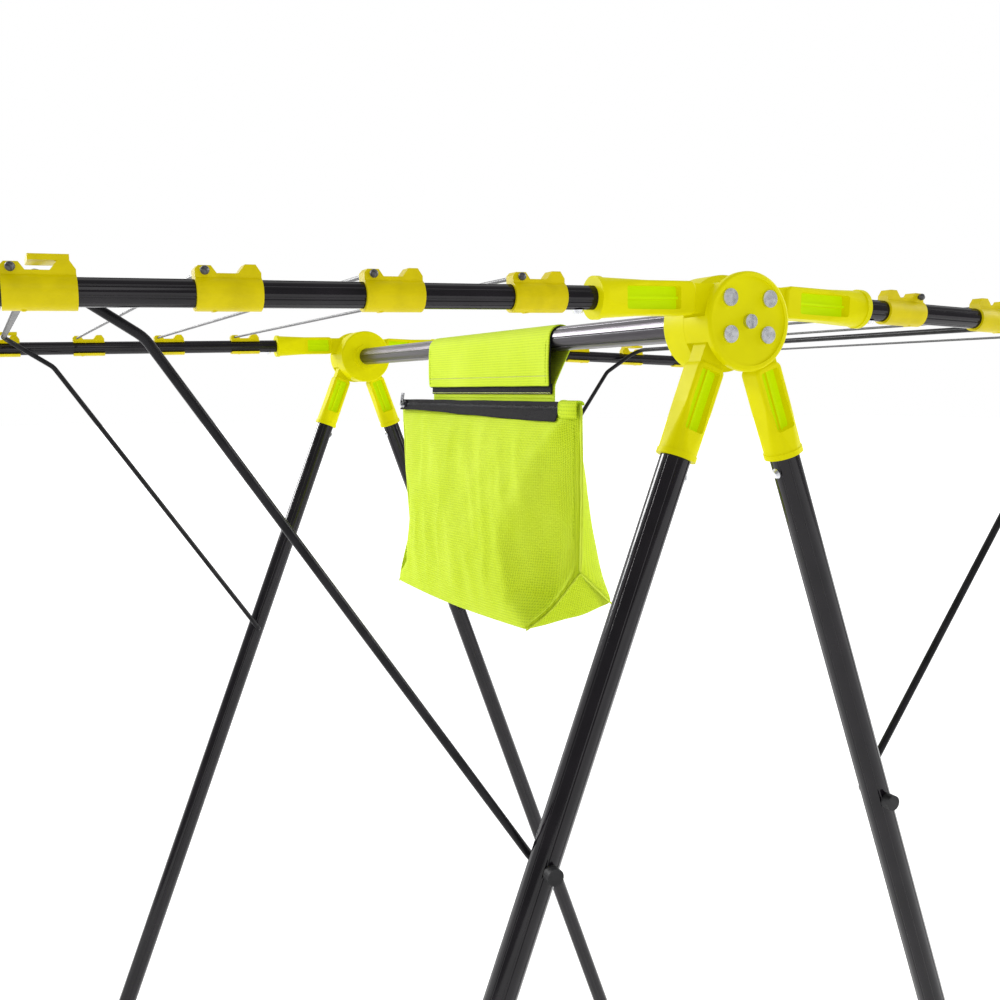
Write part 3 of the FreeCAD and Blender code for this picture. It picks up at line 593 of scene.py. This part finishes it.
# ---- peg bag -------------------------------------------------------------------------
# Places on the bag are millimetres from the middle of the ridge tube.
NEAR_SEAM = (Vector((-7.0, -217.0, -58.5)), Vector((-2.0, -210.0, -211.0)))
FAR_SEAM = (Vector((-7.0, 221.0, -59.5)), Vector((-4.0, 206.0, -217.0)))
NEAR_CORNERS = (Vector((-48.0, -191.0, -263.0)), Vector((44.0, -190.0, -246.0)))
FAR_CORNERS = (Vector((-28.0, 185.0, -279.0)), Vector((48.0, 185.0, -264.0)))
NEAR_FOLD_BOW = Vector((3.6, 0.0, -2.6))
TOP_FRONT_X = -10.9
TOP_BACK_X = -9.2
TOP_HEIGHT = -58.0
WALL_ROWS = 46
BASE_ROWS = 16
CORNER_STEPS = 10
MIDDLE_STEPS = 84
# How far from an end seam the wall reaches its full depth, against the height share.
FRONT_TURN = ((0.0, 14.0), (0.3, 54.0), (0.6, 88.0), (0.85, 72.0), (1.0, 19.0))
BACK_TURN = ((0.0, 9.0), (0.3, 20.0), (0.6, 26.0), (0.85, 25.0), (1.0, 19.0))


def metres(point):
    """From millimetres round the ridge's middle to metres in the row frame."""
    return Vector((point.x * MM, point.y * MM, RIDGE_Z + point.z * MM))


def turn_reach(height, side):
    """Distance from an end seam at which the wall reaches its full depth."""
    table = BACK_TURN if side else FRONT_TURN
    for (low, first), (high, second) in zip(table, table[1:]):
        if height <= high:
            return first + (second - first) * smooth_step((height - low) / (high - low))
    return table[-1][1]


def bag_stations():
    """0 is the near seam, 1 the near corner, 2 the far corner and 3 the far seam."""
    near = [step / CORNER_STEPS for step in range(CORNER_STEPS)]
    middle = [1.0 + step / MIDDLE_STEPS for step in range(MIDDLE_STEPS)]
    far = [2.0 + step / CORNER_STEPS for step in range(CORNER_STEPS + 1)]
    return near + middle + far


def fold_bow(share):
    """Bow of the base's front fold between the near seam, 0, and the near corner, 1."""
    return NEAR_FOLD_BOW * math.sin(math.pi * share ** 1.3)


def bottom_edge(station, side):
    """Edge of the base under the front wall (side 0) or the back wall (side 1)."""
    if station <= 1.0:
        edge = NEAR_SEAM[1].lerp(NEAR_CORNERS[side], station)
        return edge if side else edge + fold_bow(station)
    if station >= 2.0:
        return FAR_SEAM[1].lerp(FAR_CORNERS[side], 3.0 - station)
    edge = NEAR_CORNERS[side].lerp(FAR_CORNERS[side], station - 1.0)
    bow = math.sin(math.pi * (station - 1.0))
    edge.x += (3.0 if side else -3.0) * bow
    edge.z -= 2.5 * bow
    return edge


def top_y(station):
    """Y of a station along the top edge, under the zip."""
    if station <= 1.0:
        share = 0.05 * station
    elif station >= 2.0:
        share = 0.95 + 0.05 * (station - 2.0)
    else:
        share = 0.05 + 0.9 * (station - 1.0)
    return NEAR_SEAM[0].y + (FAR_SEAM[0].y - NEAR_SEAM[0].y) * share


def soft_limit(value, sharpness):
    """Straight up to 1, then level, with a soft ridge between."""
    return value / (1.0 + value ** sharpness) ** (1.0 / sharpness)


def full_depth(y, height, side):
    """X of the wall away from the ends."""
    near, far = NEAR_CORNERS[side], FAR_CORNERS[side]
    share = (y - near.y) / (far.y - near.y)
    low = near.x + (far.x - near.x) * share
    top = TOP_BACK_X if side else TOP_FRONT_X
    bow = math.sin(math.pi * max(0.0, min(1.0, share)))
    out = 1.0 if side else -1.0
    belly = (5.0 + 4.0 * bow) * math.sin(math.pi * height) ** 0.8 * smooth_step(height / 0.1)
    leave = smooth_step(height / 0.12)
    return top + (low - top) * height ** 0.95 * leave + out * (belly + 3.0 * bow * height)


def wrinkle(y, z, height, side):
    """Soft folds, in millimetres out from the wall."""
    shift = 5.0 + 9.0 * side
    fall = noise.noise(Vector((y * 0.017 + z * 0.004, z * 0.004, shift)))
    drape = noise.noise(Vector((y * 0.034 - z * 0.012, z * 0.008, shift + 3.0)))
    slant = noise.noise(Vector((y * 0.020 + z * 0.030, z * 0.012 - y * 0.006, shift + 6.0)))
    pinch = 1.0 - abs(noise.noise(Vector((y * 0.024 - z * 0.010, z * 0.009, shift + 8.0)))) * 3.0
    fine = noise.noise(Vector((y * 0.09, z * 0.05, shift)))
    lift = 3.2 * fall + 1.8 * drape + 1.5 * slant + 1.8 * max(0.0, pinch) + 0.4 * fine
    held = smooth_step(height / 0.14)
    return lift * held * math.sin(math.pi * min(1.0, 0.06 + height * 0.92)) ** 0.7


def wall_point(station, height, side):
    """Point on a wall; height is 0 at the zip and 1 at the base."""
    low = bottom_edge(station, side)
    if height >= 1.0:
        return low
    near = station < 1.5
    seam_top, seam_low = NEAR_SEAM if near else FAR_SEAM
    seam = seam_top.lerp(seam_low, height)
    y = top_y(station) + (low.y - top_y(station)) * height
    top = TOP_HEIGHT + (seam_top.z - TOP_HEIGHT) * max(0.0, 1.0 - abs(y - seam.y) / 12.0)
    z = top + (low.z - top) * height
    reach = turn_reach(height, side) * (1.0 if near else 0.75)
    turn = abs(y - seam.y) / reach
    gain = soft_limit(turn, 4.5 + 7.0 * height ** 6)
    out = 1.0 if side else -1.0
    crest = 0.0 if side else 3.4 * math.exp(-((turn - 1.05) / 0.3) ** 2) * math.sin(math.pi * height)
    depth = full_depth(y, height, side) + out * (wrinkle(y, z, height, side) * gain + crest)
    x = seam.x + (depth - seam.x) * gain
    x += (low.x - x) * height ** 18
    return Vector((x, y, z))


def base_point(station, share):
    """Point on the base, from its front edge to its back edge."""
    point = bottom_edge(station, 0).lerp(bottom_edge(station, 1), share)
    inside = smooth_step(min(station, 3.0 - station))
    sag = 3.0 + 2.5 * noise.noise(Vector((point.y * 0.02, point.x * 0.03, 2.0)))
    point.z -= sag * math.sin(math.pi * share) * inside
    return point


def bag_ring(station):
    """One loop round the bag: down the front, across the base and up the back."""
    ring = [wall_point(station, row / WALL_ROWS, 0) for row in range(WALL_ROWS)]
    ring += [base_point(station, row / BASE_ROWS) for row in range(BASE_ROWS)]
    ring += [wall_point(station, 1.0 - row / WALL_ROWS, 1) for row in range(WALL_ROWS + 1)]
    return ring


def surface(rings, along, across, lift=0.0):
    """Point on the bag at fractional ring and row numbers, lifted off the cloth; with its normal."""
    j = min(int(along), len(rings) - 2)
    i = min(int(across), len(rings[0]) - 2)
    u, v = along - j, across - i
    low = rings[j][i].lerp(rings[j][i + 1], v)
    high = rings[j + 1][i].lerp(rings[j + 1][i + 1], v)
    point = low.lerp(high, u)
    down = rings[j][i + 1] - rings[j][i]
    normal = (high - low).cross(down).normalized()
    outside = 1.0 if i < WALL_ROWS else -1.0
    if normal.x * -outside < 0:
        normal.negate()
    return point + normal * lift, normal


def build_bag():
    """Lofted shell of the bag, closed at its end seams and under the zip."""
    rings = [bag_ring(station) for station in bag_stations()]
    middle = rings[len(rings) // 2]
    lengths = [0.0]
    for low, high in zip(middle, middle[1:] + middle[:1]):
        lengths.append(lengths[-1] + (high - low).length)
    columns = len(middle)

    def place(i, j):
        return metres(rings[j][i])

    def cloth(i, j):
        point = rings[j][i % columns]
        if WALL_ROWS < i % columns < WALL_ROWS + BASE_ROWS:
            return ((point.y - point.z) * MM, point.x * MM)
        return (point.y * MM, lengths[i] * MM)

    mesh = grid_mesh("bag_shell", columns, len(rings), place, cloth, wrap=True)
    close_ends(mesh)
    bag = new_piece("bag_shell", mesh, MATERIALS["bag_fabric"], "bag", ["bag_body"])
    add_smooth(bag)
    return rings


def close_ends(mesh):
    """Weld the two walls together where they meet in the end seams."""
    bm = bmesh.new()
    bm.from_mesh(mesh)
    bmesh.ops.remove_doubles(bm, verts=bm.verts, dist=0.0003)
    bmesh.ops.dissolve_degenerate(bm, edges=bm.edges, dist=0.00005)
    open_edges = [edge for edge in bm.edges if edge.is_boundary]
    if open_edges:
        bmesh.ops.holes_fill(bm, edges=open_edges, sides=0)
    bmesh.ops.recalc_face_normals(bm, faces=bm.faces)
    bm.to_mesh(mesh)
    bm.free()
    smooth_faces(mesh)


def add_smooth(piece):
    smooth = piece.modifiers.new("smooth", "SUBSURF")
    smooth.levels = 1
    smooth.render_levels = 1


def seam_path(near):
    """From the top of an end seam down to its foot."""
    top, low = NEAR_SEAM if near else FAR_SEAM
    steps = 24
    bow = 1.2 if near else -1.2
    path = []
    for step in range(steps + 1):
        share = step / steps
        point = top.lerp(low, share)
        point.x += bow * math.sin(math.pi * share)
        path.append(point)
    return path


def build_flange(near):
    """Raised edge of the end seam, where the two walls are sewn together."""
    name = "near_side_seam" if near else "far_side_seam"
    out = -1.0 if near else 1.0
    section = ((1.5, -1.0), (-2.6, -1.1), (-3.2, 0.0), (-2.6, 1.1), (1.5, 1.0))
    path = seam_path(near)
    rows = len(path)

    def place(i, j):
        reach, side = section[i]
        wave = 0.35 * noise.noise(Vector((path[j].z * 0.06, 4.0, out)))
        return metres(path[j] + Vector((side + wave, -out * reach, 0.0)))

    def cloth(i, j):
        return (i * 1.6 * MM, path[j].z * MM)

    mesh = grid_mesh(name, len(section), rows, place, cloth, wrap=True)
    close_ends(mesh)
    flange = new_piece(name, mesh, PIPING, "bag")
    add_smooth(flange)


def build_piping(near):
    """Thin piping from the foot of the end seam to both corners of the base."""
    foot = (NEAR_SEAM if near else FAR_SEAM)[1]
    corners = NEAR_CORNERS if near else FAR_CORNERS
    out = -0.5 if near else 0.5
    for label, corner in zip(("front", "back"), corners):
        path = []
        for step in range(19):
            share = step / 18.0 * 0.985
            point = foot.lerp(corner, share)
            if near and label == "front":
                point += fold_bow(share)
            sway = 0.5 * noise.noise(Vector((step * 0.4, 2.0, out)))
            path.append(metres(point + Vector((0.0, out + sway, -0.5))))
        name = "%s_%s_piping" % ("near" if near else "far", label)
        mesh = tube_mesh(name, path, 0.85 * MM)
        add_tube_cloth(mesh)
        new_piece(name, mesh, PIPING, "bag")


def add_tube_cloth(mesh):
    """Cloth coordinates for a thin cord, from its place in space."""
    layer = mesh.uv_layers.new(name="cloth")
    for loop, spot in zip(mesh.loops, layer.data):
        point = mesh.vertices[loop.vertex_index].co
        spot.uv = (point.x + point.y, point.z)


def build_bag_stitches(rings):
    """Rows of thread beside the end seams and under the zip."""
    last = len(rings) - 1
    rows = []
    seam_rows = range(5, WALL_ROWS - 12)
    near_line = [surface(rings, 3.2, row, 0.25) for row in seam_rows]
    far_line = [surface(rings, last - 3.2, row, 0.25) for row in seam_rows]
    zip_line = [surface(rings, along * 0.5, 3.3, 0.35) for along in range(14, 2 * last - 10)]
    rows.append(("near_seam_stitches", near_line, LIME_THREAD))
    rows.append(("far_seam_stitches", far_line, LIME_THREAD))
    rows.append(("zip_seam_stitches", zip_line, LIME_THREAD))
    for name, line, material in rows:
        sew(name, line, material, 3.0, 2.1, 0.28)


def sew(name, line, material, pitch, length, radius):
    """Stitches along (point, normal) pairs given in millimetres."""
    points = [metres(point) for point, _ in line]
    normals = [normal for _, normal in line]
    mesh = stitch_mesh(name, points, normals, pitch * MM, length * MM, radius * MM)
    new_piece(name, mesh, material, "bag")


# ---- strap ---------------------------------------------------------------------------
STRAP_NEAR = -170.0
STRAP_FAR = 122.0
LOOP_RADIUS = 12.5
FLAP_END = (-11.8, -43.5)
BACK_JOIN = (-6.6, -42.0)
BACK_END = (-6.8, -60.0)


def strap_profile(radius, flap_end, back_points):
    """(x, z) line from the flap's lower edge, over the ridge tube, to the bag."""
    profile = []
    for step in range(9):
        share = step / 8.0
        x = flap_end[0] + (-radius - flap_end[0]) * share - 0.8 * math.sin(math.pi * share)
        profile.append((x, flap_end[1] * (1.0 - share)))
    leave = math.atan2(BACK_JOIN[1], BACK_JOIN[0]) + math.acos(radius / math.hypot(*BACK_JOIN))
    sweep = math.pi - leave
    for step in range(1, 17):
        angle = math.pi - sweep * step / 16.0
        profile.append((radius * math.cos(angle), radius * math.sin(angle)))
    start = profile[-1]
    for end in back_points:
        for step in range(1, 7):
            share = step / 6.0
            profile.append((start[0] + (end[0] - start[0]) * share, start[1] + (end[1] - start[1]) * share))
        start = end
    return profile


def strap_mesh(name, profile, near, far, columns):
    """Sheet along the ridge with a slightly uneven flap edge."""
    lengths = [0.0]
    for low, high in zip(profile, profile[1:]):
        lengths.append(lengths[-1] + math.dist(low, high))
    flap = 8

    def place(i, j):
        share = i / (columns - 1)
        y = near + (far - near) * share
        x, z = profile[j]
        free = max(0.0, 1.0 - j / flap)
        wave = noise.noise(Vector((y * 0.02, 7.0, 0.0)))
        ripple = noise.noise(Vector((y * 0.05, z * 0.05, 3.0)))
        x += -0.9 * free * (0.6 + wave) - 0.25 * abs(ripple) * min(1.0, free + 0.3)
        z += 0.7 * free * noise.noise(Vector((y * 0.013, 1.0, 5.0)))
        y += 0.6 * free * (0.5 - share) * 2.0 * noise.noise(Vector((z * 0.1, 2.0, share)))
        return metres(Vector((x, y, z)))

    def cloth(i, j):
        return ((near + (far - near) * i / (columns - 1)) * MM, lengths[j] * MM)

    return grid_mesh(name, columns, len(profile), place, cloth), lengths[-1]


def build_strap():
    """Folded strap, its black lining and its stitching."""
    profile = strap_profile(LOOP_RADIUS, FLAP_END, (BACK_JOIN, BACK_END))
    mesh, length = strap_mesh("strap", profile, STRAP_NEAR, STRAP_FAR, 90)
    strap = new_piece("strap", mesh, STRAP, "bag", ["bag_strap"])
    thicken(strap, 1.5 * MM)
    inner = strap_profile(LOOP_RADIUS - 1.05, (FLAP_END[0] + 1.3, FLAP_END[1] - 0.6), ())
    mesh, _ = strap_mesh("strap_lining", inner, STRAP_NEAR - 1.6, STRAP_FAR + 0.6, 90)
    lining = new_piece("strap_lining", mesh, LINING, "bag", ["loop_strip"])
    thicken(lining, 0.35 * MM)
    build_strap_stitches()


def flap_line(z, y_start, y_end, lift=1.35):
    """Straight row along the flap at one height."""
    steps = 80
    line = []
    for step in range(steps + 1):
        y = y_start + (y_end - y_start) * step / steps
        line.append(flap_spot(y, z, lift))
    return line


def flap_spot(y, z, lift):
    """Point just in front of the flap, with its normal."""
    free = max(0.0, z / FLAP_END[1])
    x = FLAP_END[0] * free - LOOP_RADIUS * (1.0 - free) - 0.8 * math.sin(math.pi * free)
    wave = noise.noise(Vector((y * 0.02, 7.0, 0.0)))
    x -= 0.9 * free * (0.6 + wave)
    return Vector((x - lift, y, z)), Vector((-1.0, 0.0, 0.0))


def build_strap_stitches():
    """Hem and side rows on the flap."""
    hem = FLAP_END[1] + 9.5
    sew("strap_hem_stitches", flap_line(hem, STRAP_NEAR + 3, STRAP_FAR - 3, 1.0), PALE_THREAD, 3.2, 2.3, 0.3)
    for name, y in (("near", STRAP_NEAR + 5.5), ("far", STRAP_FAR - 5.5)):
        line = [flap_spot(y, FLAP_END[1] * step / 30.0, 1.0) for step in range(1, 29)]
        sew("strap_%s_side_stitches" % name, line, LIME_THREAD, 3.0, 2.0, 0.26)


def build_hook_tape():
    """Napped black tape below the flap, with the loose pale stitches along its lower edge."""
    columns, rows = 360, 12
    top, low = -41.0, -50.8

    def place(i, j):
        y = STRAP_NEAR + 2.0 + (STRAP_FAR - STRAP_NEAR - 4.0) * i / (columns - 1)
        z = top + (low - top) * j / (rows - 1)
        nap = 0.45 * noise.noise(Vector((y * 0.9, z * 0.9, 1.0)))
        fray = 0.5 * noise.noise(Vector((y * 0.5, 3.0, 2.0))) if j == rows - 1 else 0.0
        return metres(Vector((-9.0 + nap, y, z + fray)))

    def cloth(i, j):
        return (i * 0.8 * MM, j * 0.9 * MM)

    tape = new_piece("hook_tape", grid_mesh("hook_tape", columns, rows, place, cloth),
                     MATERIALS["hook_and_loop"], "bag", ["hook_strip"])
    thicken(tape, 0.9 * MM, levels=0)
    front = Vector((-1.0, 0.0, 0.0))
    line = []
    for step in range(301):
        y = STRAP_NEAR + 3.0 + (STRAP_FAR - STRAP_NEAR - 6.0) * step / 300.0
        z = low + 1.3 + 0.45 * noise.noise(Vector((y * 0.35, 8.0, 1.0)))
        line.append((Vector((-9.9, y, z)), front))
    sew("hook_tape_stitches", line, PALE_THREAD, 2.6, 2.3, 0.34)
    lower = [(Vector((-8.1, y, -54.2)), front) for y in range(int(STRAP_NEAR) + 3, int(STRAP_FAR) - 2, 3)]
    sew("strap_foot_stitches", lower, LIME_THREAD, 3.0, 2.1, 0.28)


# ---- zip -----------------------------------------------------------------------------
ZIP_NEAR = -189.0
ZIP_FAR = 208.0
ZIP_MIDDLE = -63.5
TAB_NEAR = -217.6
TAB_LENGTH = 28.0


def zip_lean(y):
    """0 at the near end and 1 at the far end, where the tape tips up."""
    return smooth_step((y - ZIP_NEAR) / (ZIP_FAR - ZIP_NEAR))


def build_zip_tapes():
    """Two woven tapes, one on each side of the coil."""
    columns = 100
    for name, edges in (("zip_upper_tape", (-57.2, -62.4)), ("zip_lower_tape", (-64.6, -75.6))):
        def place(i, j):
            y = ZIP_NEAR + (ZIP_FAR - ZIP_NEAR) * i / (columns - 1)
            z = edges[0] + (edges[1] - edges[0]) * j / 4.0
            lean = zip_lean(y)
            below = min(0.0, z - ZIP_MIDDLE)
            ripple = 0.5 * noise.noise(Vector((y * 0.025, z * 0.05, 4.0)))
            z -= 0.50 * below * lean
            x = -12.3 + 0.40 * below + ripple * abs(z - ZIP_MIDDLE) / 6.0
            z += 0.7 * noise.noise(Vector((y * 0.018, 6.0, 1.0)))
            return metres(Vector((x, y, z)))

        def cloth(i, j):
            return (i * 4.0 * MM, (edges[0] + (edges[1] - edges[0]) * j / 4.0) * MM)

        mesh = grid_mesh(name, columns, 5, place, cloth)
        replaced = ["zip_tape"] if name == "zip_upper_tape" else []
        tape = new_piece(name, mesh, MATERIALS["zip_tape"], "bag", replaced)
        thicken(tape, 0.8 * MM)


def build_zip_coil():
    """Closely wound coil: one rounded loop for each tooth."""
    bm = bmesh.new()
    pitch = 1.7
    count = int((ZIP_FAR - ZIP_NEAR - 4.0) / pitch)
    for index in range(count):
        y = ZIP_NEAR + 2.0 + pitch * index
        z = ZIP_MIDDLE + 0.7 * noise.noise(Vector((y * 0.018, 6.0, 1.0)))
        shift = 0.5 if index % 2 else -0.5
        add_tooth(bm, metres(Vector((-12.9, y, z + shift))), 0.62 * MM, 1.9 * MM)
    new_piece("zip_coil", mesh_from(bm, "zip_coil"), COIL, "bag")


def add_tooth(bm, centre, half_width, half_height):
    """Rounded bar across the zip."""
    rings = []
    for rise, size in ((-1.0, 0.45), (-0.8, 0.9), (0.0, 1.0), (0.8, 0.9), (1.0, 0.45)):
        ring = []
        for step in range(8):
            angle = math.pi * step / 4.0
            across = Vector((math.cos(angle) * size, math.sin(angle) * size, 0.0)) * half_width
            ring.append(bm.verts.new(centre + across + Vector((0.0, 0.0, rise * half_height))))
        rings.append(ring)
    skin(bm, rings)


def build_zip_tab():
    """Lime tab folded over the near end of the zip."""
    profile = ((-3.4, -60.6), (-4.2, -57.6), (-7.5, -56.4), (-11.5, -56.6), (-13.8, -58.2),
               (-14.3, -61.5), (-14.3, -66.0), (-14.2, -70.0), (-13.6, -72.2))
    columns = 20

    def place(i, j):
        share = i / (columns - 1)
        y = TAB_NEAR + TAB_LENGTH * share
        x, z = profile[j]
        droop = 1.6 * smooth_step((share - 0.72) / 0.28) * (1.0 if j > 4 else 0.3)
        lift = 0.5 * noise.noise(Vector((y * 0.08, z * 0.1, 2.0)))
        pull = 3.6 * (1.0 - share) ** 3 * (1.0 if j > 3 else 0.2)
        return metres(Vector((x + lift * 0.6 + pull, y, z + droop)))

    def cloth(i, j):
        return ((TAB_NEAR + TAB_LENGTH * i / (columns - 1)) * MM, j * 3.0 * MM)

    tab = new_piece("zip_tab", grid_mesh("zip_tab", columns, len(profile), place, cloth),
                    STRAP, "bag", ["zip_end_tab"])
    thicken(tab, 1.1 * MM)
    front = Vector((-1.0, 0.0, 0.0))
    line = [(Vector((-15.0, -192.2, -58.5 - step)), front) for step in range(13)]
    sew("zip_tab_stitches", line, LIME_THREAD, 2.6, 1.9, 0.26)


# ---- floor and lights ----------------------------------------------------------------
def add_floor():
    """Pale floor that gives off more light far away, so that it stays white to the horizon."""
    shade = Shade("floor", roughness=0.9)
    shade.color(shade.ramp(shade.noise(0.8, 2.0), (0.88, 0.88, 0.88), (0.90, 0.90, 0.90), 0.4, 0.6))
    x, y, _ = shade.axes(shade.place())
    squares = shade.math("ADD", shade.math("MULTIPLY", x, x), shade.math("MULTIPLY", y, y))
    far = shade.add("ShaderNodeMapRange")
    far.inputs["From Min"].default_value = 1.5
    far.inputs["From Max"].default_value = 7.0
    far.inputs["To Min"].default_value = 0.32
    far.inputs["To Max"].default_value = 1.0
    shade.links.new(shade.math("SQRT", squares), far.inputs["Value"])
    shade.set("Emission Color", (1.0, 1.0, 1.0, 1.0))
    shade.links.new(far.outputs[0], shade.bsdf.inputs["Emission Strength"])
    half = 40.0
    corners = [(-half, -half, 0), (half, -half, 0), (half, half, 0), (-half, half, 0)]
    mesh = bpy.data.meshes.new("floor")
    mesh.from_pydata(corners, [], [(0, 1, 2, 3)])
    mesh.materials.append(shade.material)
    floor = bpy.data.objects.new("floor", mesh)
    bpy.context.scene.collection.objects.link(floor)


def add_light(name, place, size, power):
    """Round soft light aimed at the bag."""
    data = bpy.data.lights.new(name, "AREA")
    data.shape = "DISK"
    data.size = size
    data.energy = power
    light = bpy.data.objects.new(name, data)
    light.location = place
    heading = Vector((0.0, 0.0, RIDGE_Z - 0.1)) - Vector(place)
    light.rotation_euler = heading.to_track_quat("-Z", "Y").to_euler()
    bpy.context.scene.collection.objects.link(light)


def add_world():
    """Bright studio with a dimmer wall behind the near frame."""
    world = bpy.data.worlds.new("studio")
    world.use_nodes = True
    nodes, links = world.node_tree.nodes, world.node_tree.links
    direction = nodes.new("ShaderNodeTexCoord")
    axes = nodes.new("ShaderNodeSeparateXYZ")
    ramp = nodes.new("ShaderNodeValToRGB")
    dark, bright = ramp.color_ramp.elements
    dark.position = 0.10
    dark.color = (0.34, 0.34, 0.34, 1.0)
    bright.position = 0.40
    bright.color = (1.0, 1.0, 1.0, 1.0)
    links.new(direction.outputs["Generated"], axes.inputs[0])
    links.new(axes.outputs["Y"], ramp.inputs[0])
    links.new(ramp.outputs[0], nodes["Background"].inputs["Color"])
    bpy.context.scene.world = world


def add_lights():
    add_world()
    add_light("key", (-1.7, 2.3, RIDGE_Z + 0.9), 1.2, 76.0)
    add_light("front", (-0.6, -3.2, RIDGE_Z + 1.4), 1.6, 10.0)
    add_light("right", (2.8, -0.9, RIDGE_Z + 0.9), 1.6, 72.0)
    bpy.context.scene.view_settings.view_transform = "Standard"


add_camera()
dress_frame()
bag_rings = build_bag()
for is_near in (True, False):
    build_flange(is_near)
    build_piping(is_near)
build_bag_stitches(bag_rings)
build_strap()
build_hook_tape()
build_zip_tapes()
build_zip_coil()
build_zip_tab()
add_floor()
add_lights()
